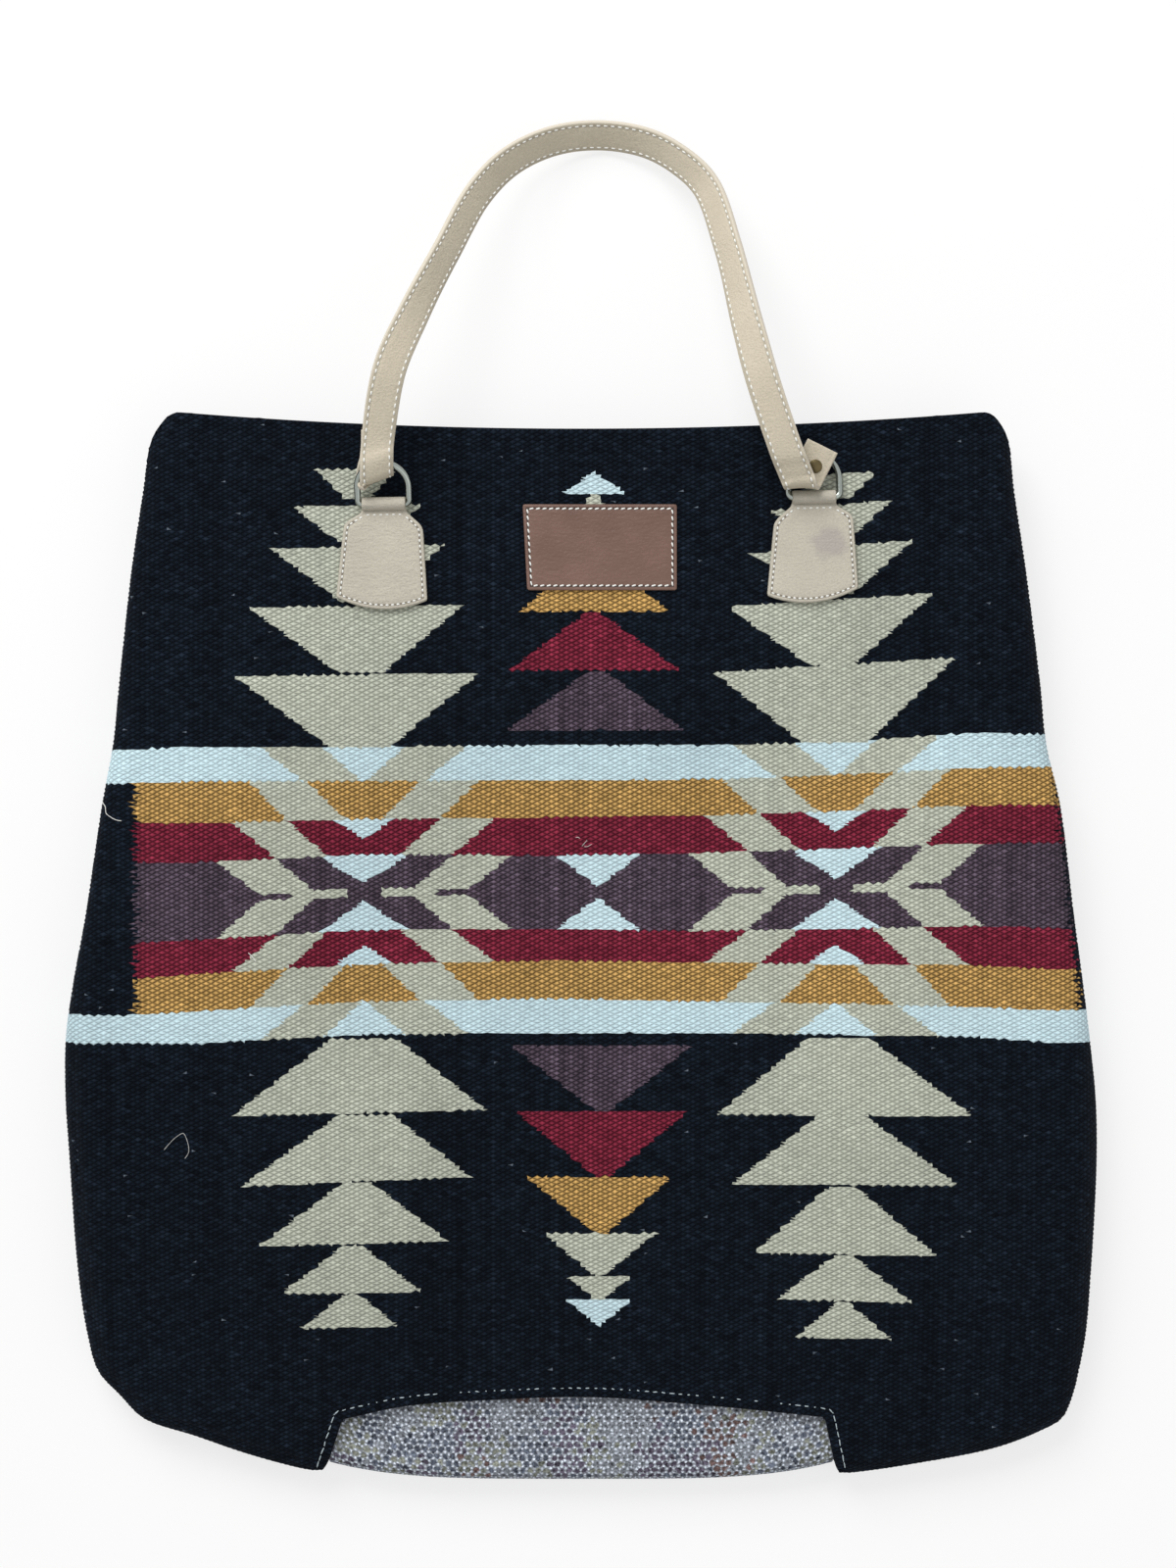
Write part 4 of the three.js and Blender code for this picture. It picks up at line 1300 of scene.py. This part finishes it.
def new_node(tree, kind, inputs, output=0, **settings):
    """An output of a new node that has these settings and inputs."""
    node = tree.nodes.new(f"ShaderNode{kind}")
    for name, value in settings.items():
        setattr(node, name, value)
    feed(node, inputs)
    return node.outputs[output]


def maths(operation, *values):
    """Result of an operation on outputs and constants."""
    tree = next(value.id_data for value in values if isinstance(value, bpy.types.NodeSocket))
    return new_node(tree, "Math", dict(enumerate(values)), operation=operation)


plus, minus, times, larger = (partial(maths, name) for name in ("ADD", "SUBTRACT", "MULTIPLY", "MAXIMUM"))


def between(value, low, high):
    """A 0 to 1 output moved to run from low to high."""
    return plus(times(value, high - low), low)


def varied(value, spread):
    """A 0 to 1 output moved to run as far below 1 as above it."""
    return between(value, 1 - spread, 1 + spread)


def soft_step(value, low, high, top=1.0):
    inputs = {"Value": value, "From Min": low, "From Max": high, "To Max": top}
    return new_node(value.id_data, "MapRange", inputs, interpolation_type="SMOOTHSTEP")


def scaled(colour, factor):
    """A colour times a number output."""
    return new_node(factor.id_data, "VectorMath", {0: colour, "Scale": factor}, operation="SCALE")


def mixed(factor, first, second):
    """Colour between two colours."""
    inputs = {"Factor": factor, "A": first, "B": second}
    return new_node(factor.id_data, "Mix", inputs, "Result", data_type="RGBA")


def object_place(tree):
    return new_node(tree, "TexCoord", {}, "Object")


def noise(tree, scale, detail, stretch=(1, 1, 1)):
    place = new_node(tree, "Mapping", {"Vector": object_place(tree), "Scale": stretch})
    return new_node(tree, "TexNoise", {"Vector": place, "Scale": scale, "Detail": detail})


def bump(shader, height, distance, strength):
    inputs = {"Height": height, "Distance": distance, "Strength": strength}
    feed(shader, {"Normal": new_node(shader.id_data, "Bump", inputs)})


def cell_place(tree):
    """Where a point lies in its cell."""
    place = new_node(tree, "UVMap", {}, uv_map="bead")
    return [new_node(tree, "SeparateXYZ", {0: place}, axis) for axis in (0, 1)]


def cell_colour(tree, output):
    return new_node(tree, "VertexColor", {}, output, layer_name="yarn")


# Materials

def rgba(colour):
    return (*srgb(colour), 1)


def new_material(name, inputs):
    material = bpy.data.materials.new(name)
    material.use_nodes = True
    shader = material.node_tree.nodes["Principled BSDF"]
    feed(shader, inputs)
    return material, material.node_tree, shader


soft_cloth = {"Roughness": 0.95, "Specular IOR Level": 0.05, "Sheen Weight": 0.02}


def woven_material(lean, level):
    """Lens-shaped beads of yarn that lean a little, with painted shade where they meet and painted highlights
    on their middles; broad blotches are partly uneven dye and partly painted shade of creases.
    """
    narrowest, pinch, bead_mean, rib_highlight_share, strand_share, darkest = 0.02, 0.7, 0.49, 0.06, 0.35, 0.05
    material, tree, shader = new_material("woven_wool", soft_cloth)
    along, above = cell_place(tree)
    room = larger(minus(1.0, maths("ABSOLUTE", along)), narrowest)
    across = maths("DIVIDE", minus(above, times(along, lean)), room)
    dome = larger(minus(1.0, times(across, across)), 0.0)
    bead = times(dome, maths("POWER", room, pinch))
    strands = noise(tree, scale=260, detail=3, stretch=(1, 7, 7))
    # Broad soft blotches: partly uneven dye, partly painted shade of shallow creases.
    dye_and_crease_shade = noise(tree, scale=9, detail=2)
    # Painted highlight down each column of warp, and painted shade between the columns.
    rib_highlight = maths("COSINE", times(along, 2 * math.pi))
    painted_bead_light = plus(minus(bead, bead_mean), times(rib_highlight, rib_highlight_share))
    # Painted light: bead tops lighter and the gaps between beads darker, as strong as each yarn's bead
    # shading, lifted by level so the cloth keeps its yarn colour on average, and never below darkest.
    shade = larger(plus(times(painted_bead_light, cell_colour(tree, "Alpha")), level), darkest)
    shade = times(times(shade, varied(strands, 0.3)), varied(dye_and_crease_shade, 0.22))
    feed(shader, {"Base Color": scaled(cell_colour(tree, "Color"), shade)})
    bump(shader, plus(bead, times(strands, strand_share)), distance=0.0007, strength=0.8)
    return material


def knit_material(colour):
    """Pale threads round sunken holes, with a painted highlight where three threads meet and painted shade of
    uneven depth in the holes.
    """
    material, tree, shader = new_material("knit", soft_cloth)
    out, along = cell_place(tree)
    uneven = between(noise(tree, scale=520, detail=2), -0.9, 0.9)
    on_thread = soft_step(plus(out, uneven), 0.48, 0.95)
    off = maths("ABSOLUTE", minus(along, 0.5))
    # Painted highlight: the threads are lighter where three of them meet.
    knot_highlight = times(times(off, off), 4.0)
    shade = times(between(knot_highlight, 0.5, 2.05), varied(noise(tree, scale=420, detail=2), 0.65))
    # Painted shade inside the holes, deeper in some than in others.
    depth = between(noise(tree, scale=640, detail=2), -0.9, 3.1)
    shaded_hole = scaled(cell_colour(tree, "Color"), depth)
    feed(shader, {"Base Color": mixed(on_thread, shaded_hole, scaled(srgb(colour), shade))})
    bump(shader, on_thread, distance=0.0006, strength=0.7)
    return material


def blot(tree, middle, reach, strength):
    """Strength in a soft-edged blot about a place given in bag coordinates."""
    inputs = {0: object_place(tree), 1: to_frame([middle])[0]}
    apart = new_node(tree, "VectorMath", inputs, operation="SUBTRACT")
    apart = new_node(tree, "VectorMath", {0: apart, 1: np.array(reach) / metre}, operation="DIVIDE")
    length = new_node(tree, "VectorMath", {0: apart}, "Value", operation="LENGTH")
    rough = between(noise(tree, scale=130, detail=3), -0.5, 0.5)
    return soft_step(plus(length, rough), 1.0, 0.45, strength)


def leather_material(name, colour, deep, roughness=0.55, grain=900, smudge=None, relief=1.0, creased=1.0):
    """Blotched leather with pores and short creases, as strong as relief and creased say."""
    material, tree, shader = new_material(name, {"Roughness": roughness, "Specular IOR Level": 0.3})
    blotch = between(noise(tree, scale=30, detail=4), -0.4, 1.4)
    pores = noise(tree, scale=grain, detail=3)
    creases = noise(tree, scale=300, detail=3, stretch=(0.7, 1.7, 1))
    shown = mixed(blotch, rgba(deep), rgba(colour))
    shown = scaled(shown, varied(pores, 0.2 * relief))
    shown = scaled(shown, varied(creases, 0.06 * relief * creased))
    if smudge is not None:
        shown = mixed(blot(tree, **smudge["blot"]), shown, rgba(smudge["colour"]))
    feed(shader, {"Base Color": shown})
    bump(shader, plus(pores, times(creases, 1.2 * creased)), distance=0.0008 * relief, strength=0.6)
    return material


def plain_material(name, colour, roughness=0.8, metallic=0.0):
    inputs = {"Base Color": rgba(colour), "Roughness": roughness, "Metallic": metallic}
    material, tree, shader = new_material(name, inputs)
    bump(shader, noise(tree, scale=900, detail=4), distance=0.0001, strength=0.3)
    return material


# Studio

def show(tree, lit, seen, share, output):
    """Shows seen by its share to the camera and to gloss, and lit otherwise."""
    path = tree.nodes.new("ShaderNodeLightPath").outputs
    rays = larger(larger(path["Is Camera Ray"], path["Is Glossy Ray"]), path["Is Transmission Ray"])
    mix = new_node(tree, "MixShader", {0: times(rays, share), 1: lit, 2: seen})
    feed(tree.nodes[output], {"Surface": mix})


def floor():
    """White to the camera and to gloss, apart from the soft shadow."""
    inputs = {"Base Color": (0.93, 0.93, 0.93, 1), "Roughness": 0.9, "Specular IOR Level": 0.1}
    material, tree, shader = new_material("floor", inputs)
    show(tree, shader.outputs[0], new_node(tree, "Emission", {}), 0.7, "Material Output")
    reach, level = 30.0, -0.0005
    mesh = bpy.data.meshes.new("floor")
    corners = [(-reach, -reach, level), (reach, -reach, level), (reach, reach, level), (-reach, reach, level)]
    mesh.from_pydata(corners, [], [(0, 1, 2, 3)])
    mesh.materials.append(material)
    new_object("floor", mesh)


def world_light(strength):
    white = (1, 1, 1, 1)
    world = bpy.data.worlds.new("studio")
    bpy.context.scene.world = world
    world.use_nodes = True
    tree = world.node_tree
    light = tree.nodes["Background"]
    feed(light, {"Color": white, "Strength": strength})
    show(tree, light.outputs[0], new_node(tree, "Background", {"Color": white}), 1.0, "World Output")


def camera():
    height, middle_x, middle_y = 1600.0, 4.0, 401.5
    focal_pixels, frame_pixels, sensor = 2786.0, 1600.0, 36.0
    data = bpy.data.cameras.new("camera")
    data.sensor_width = sensor
    data.lens = sensor * focal_pixels / frame_pixels
    item = new_object("camera", data)
    item.location = to_frame([(middle_x, middle_y, height)])[0]
    bpy.context.scene.camera = item


def lamp(name, place, size, power):
    data = bpy.data.lights.new(name, "AREA")
    data.size = size
    data.energy = power
    item = new_object(name, data)
    item.location = place
    item.rotation_euler = (-Vector(place)).to_track_quat("-Z", "Y").to_euler()


bpy.context.scene.view_settings.view_transform = "Standard"
camera()
world_light(0.5)
lamp("key", place=(-1.1, 2.5, 2.4), size=2.1, power=104)
lamp("fill", place=(1.2, -0.9, 2.0), size=1.8, power=6)
floor()

pale, pale_deep = (193, 187, 172), (180, 174, 160)
right_smudge = {
    "blot": {"middle": (141, 539, front_top + 3), "reach": (13, 12, 9), "strength": 0.42},
    "colour": (146, 138, 142),
}
wool = woven_material(lean=0.06, level=1.06)
knit = knit_material((190, 197, 208))
pale_leather = leather_material("pale_leather", pale, pale_deep)
marked_leather = leather_material("marked_leather", pale, pale_deep, smudge=right_smudge, creased=0.4)
strap_leather = leather_material("strap_leather", (204, 194, 174), (192, 182, 162), creased=0.25)
cut_leather = plain_material("cut_leather", (206, 197, 181))
# Darker leather in the stitch grooves of tabs and straps: painted shadow of the grooves.
tab_groove = plain_material("tab_groove", (126, 118, 105))
strap_groove = plain_material("strap_groove", (176, 167, 149))
brown_leather = leather_material("brown_leather", (124, 96, 85), (98, 74, 64), 0.4, 700, relief=0.55)
cut_brown = plain_material("cut_brown_leather", (134, 108, 92))
# Darker leather in the stitch groove round the patch: painted shadow of the groove.
brown_groove = plain_material("brown_groove", (66, 50, 44))
thread = plain_material("thread", (240, 240, 235))
hem_thread = plain_material("hem_thread", (176, 190, 196))
nickel = plain_material("nickel", (146, 152, 147), roughness=0.2, metallic=1.0)
old_brass = plain_material("old_brass", (92, 82, 58), roughness=0.42, metallic=1.0)

woven_panel("woven_front", 1, "front_panel")
woven_panel("woven_back", -1, "back_panel")
knitted_base()
notch_stitches(1)
notch_stitches(-1)
patch_piece()
lint()
front_handle()
back_handle()
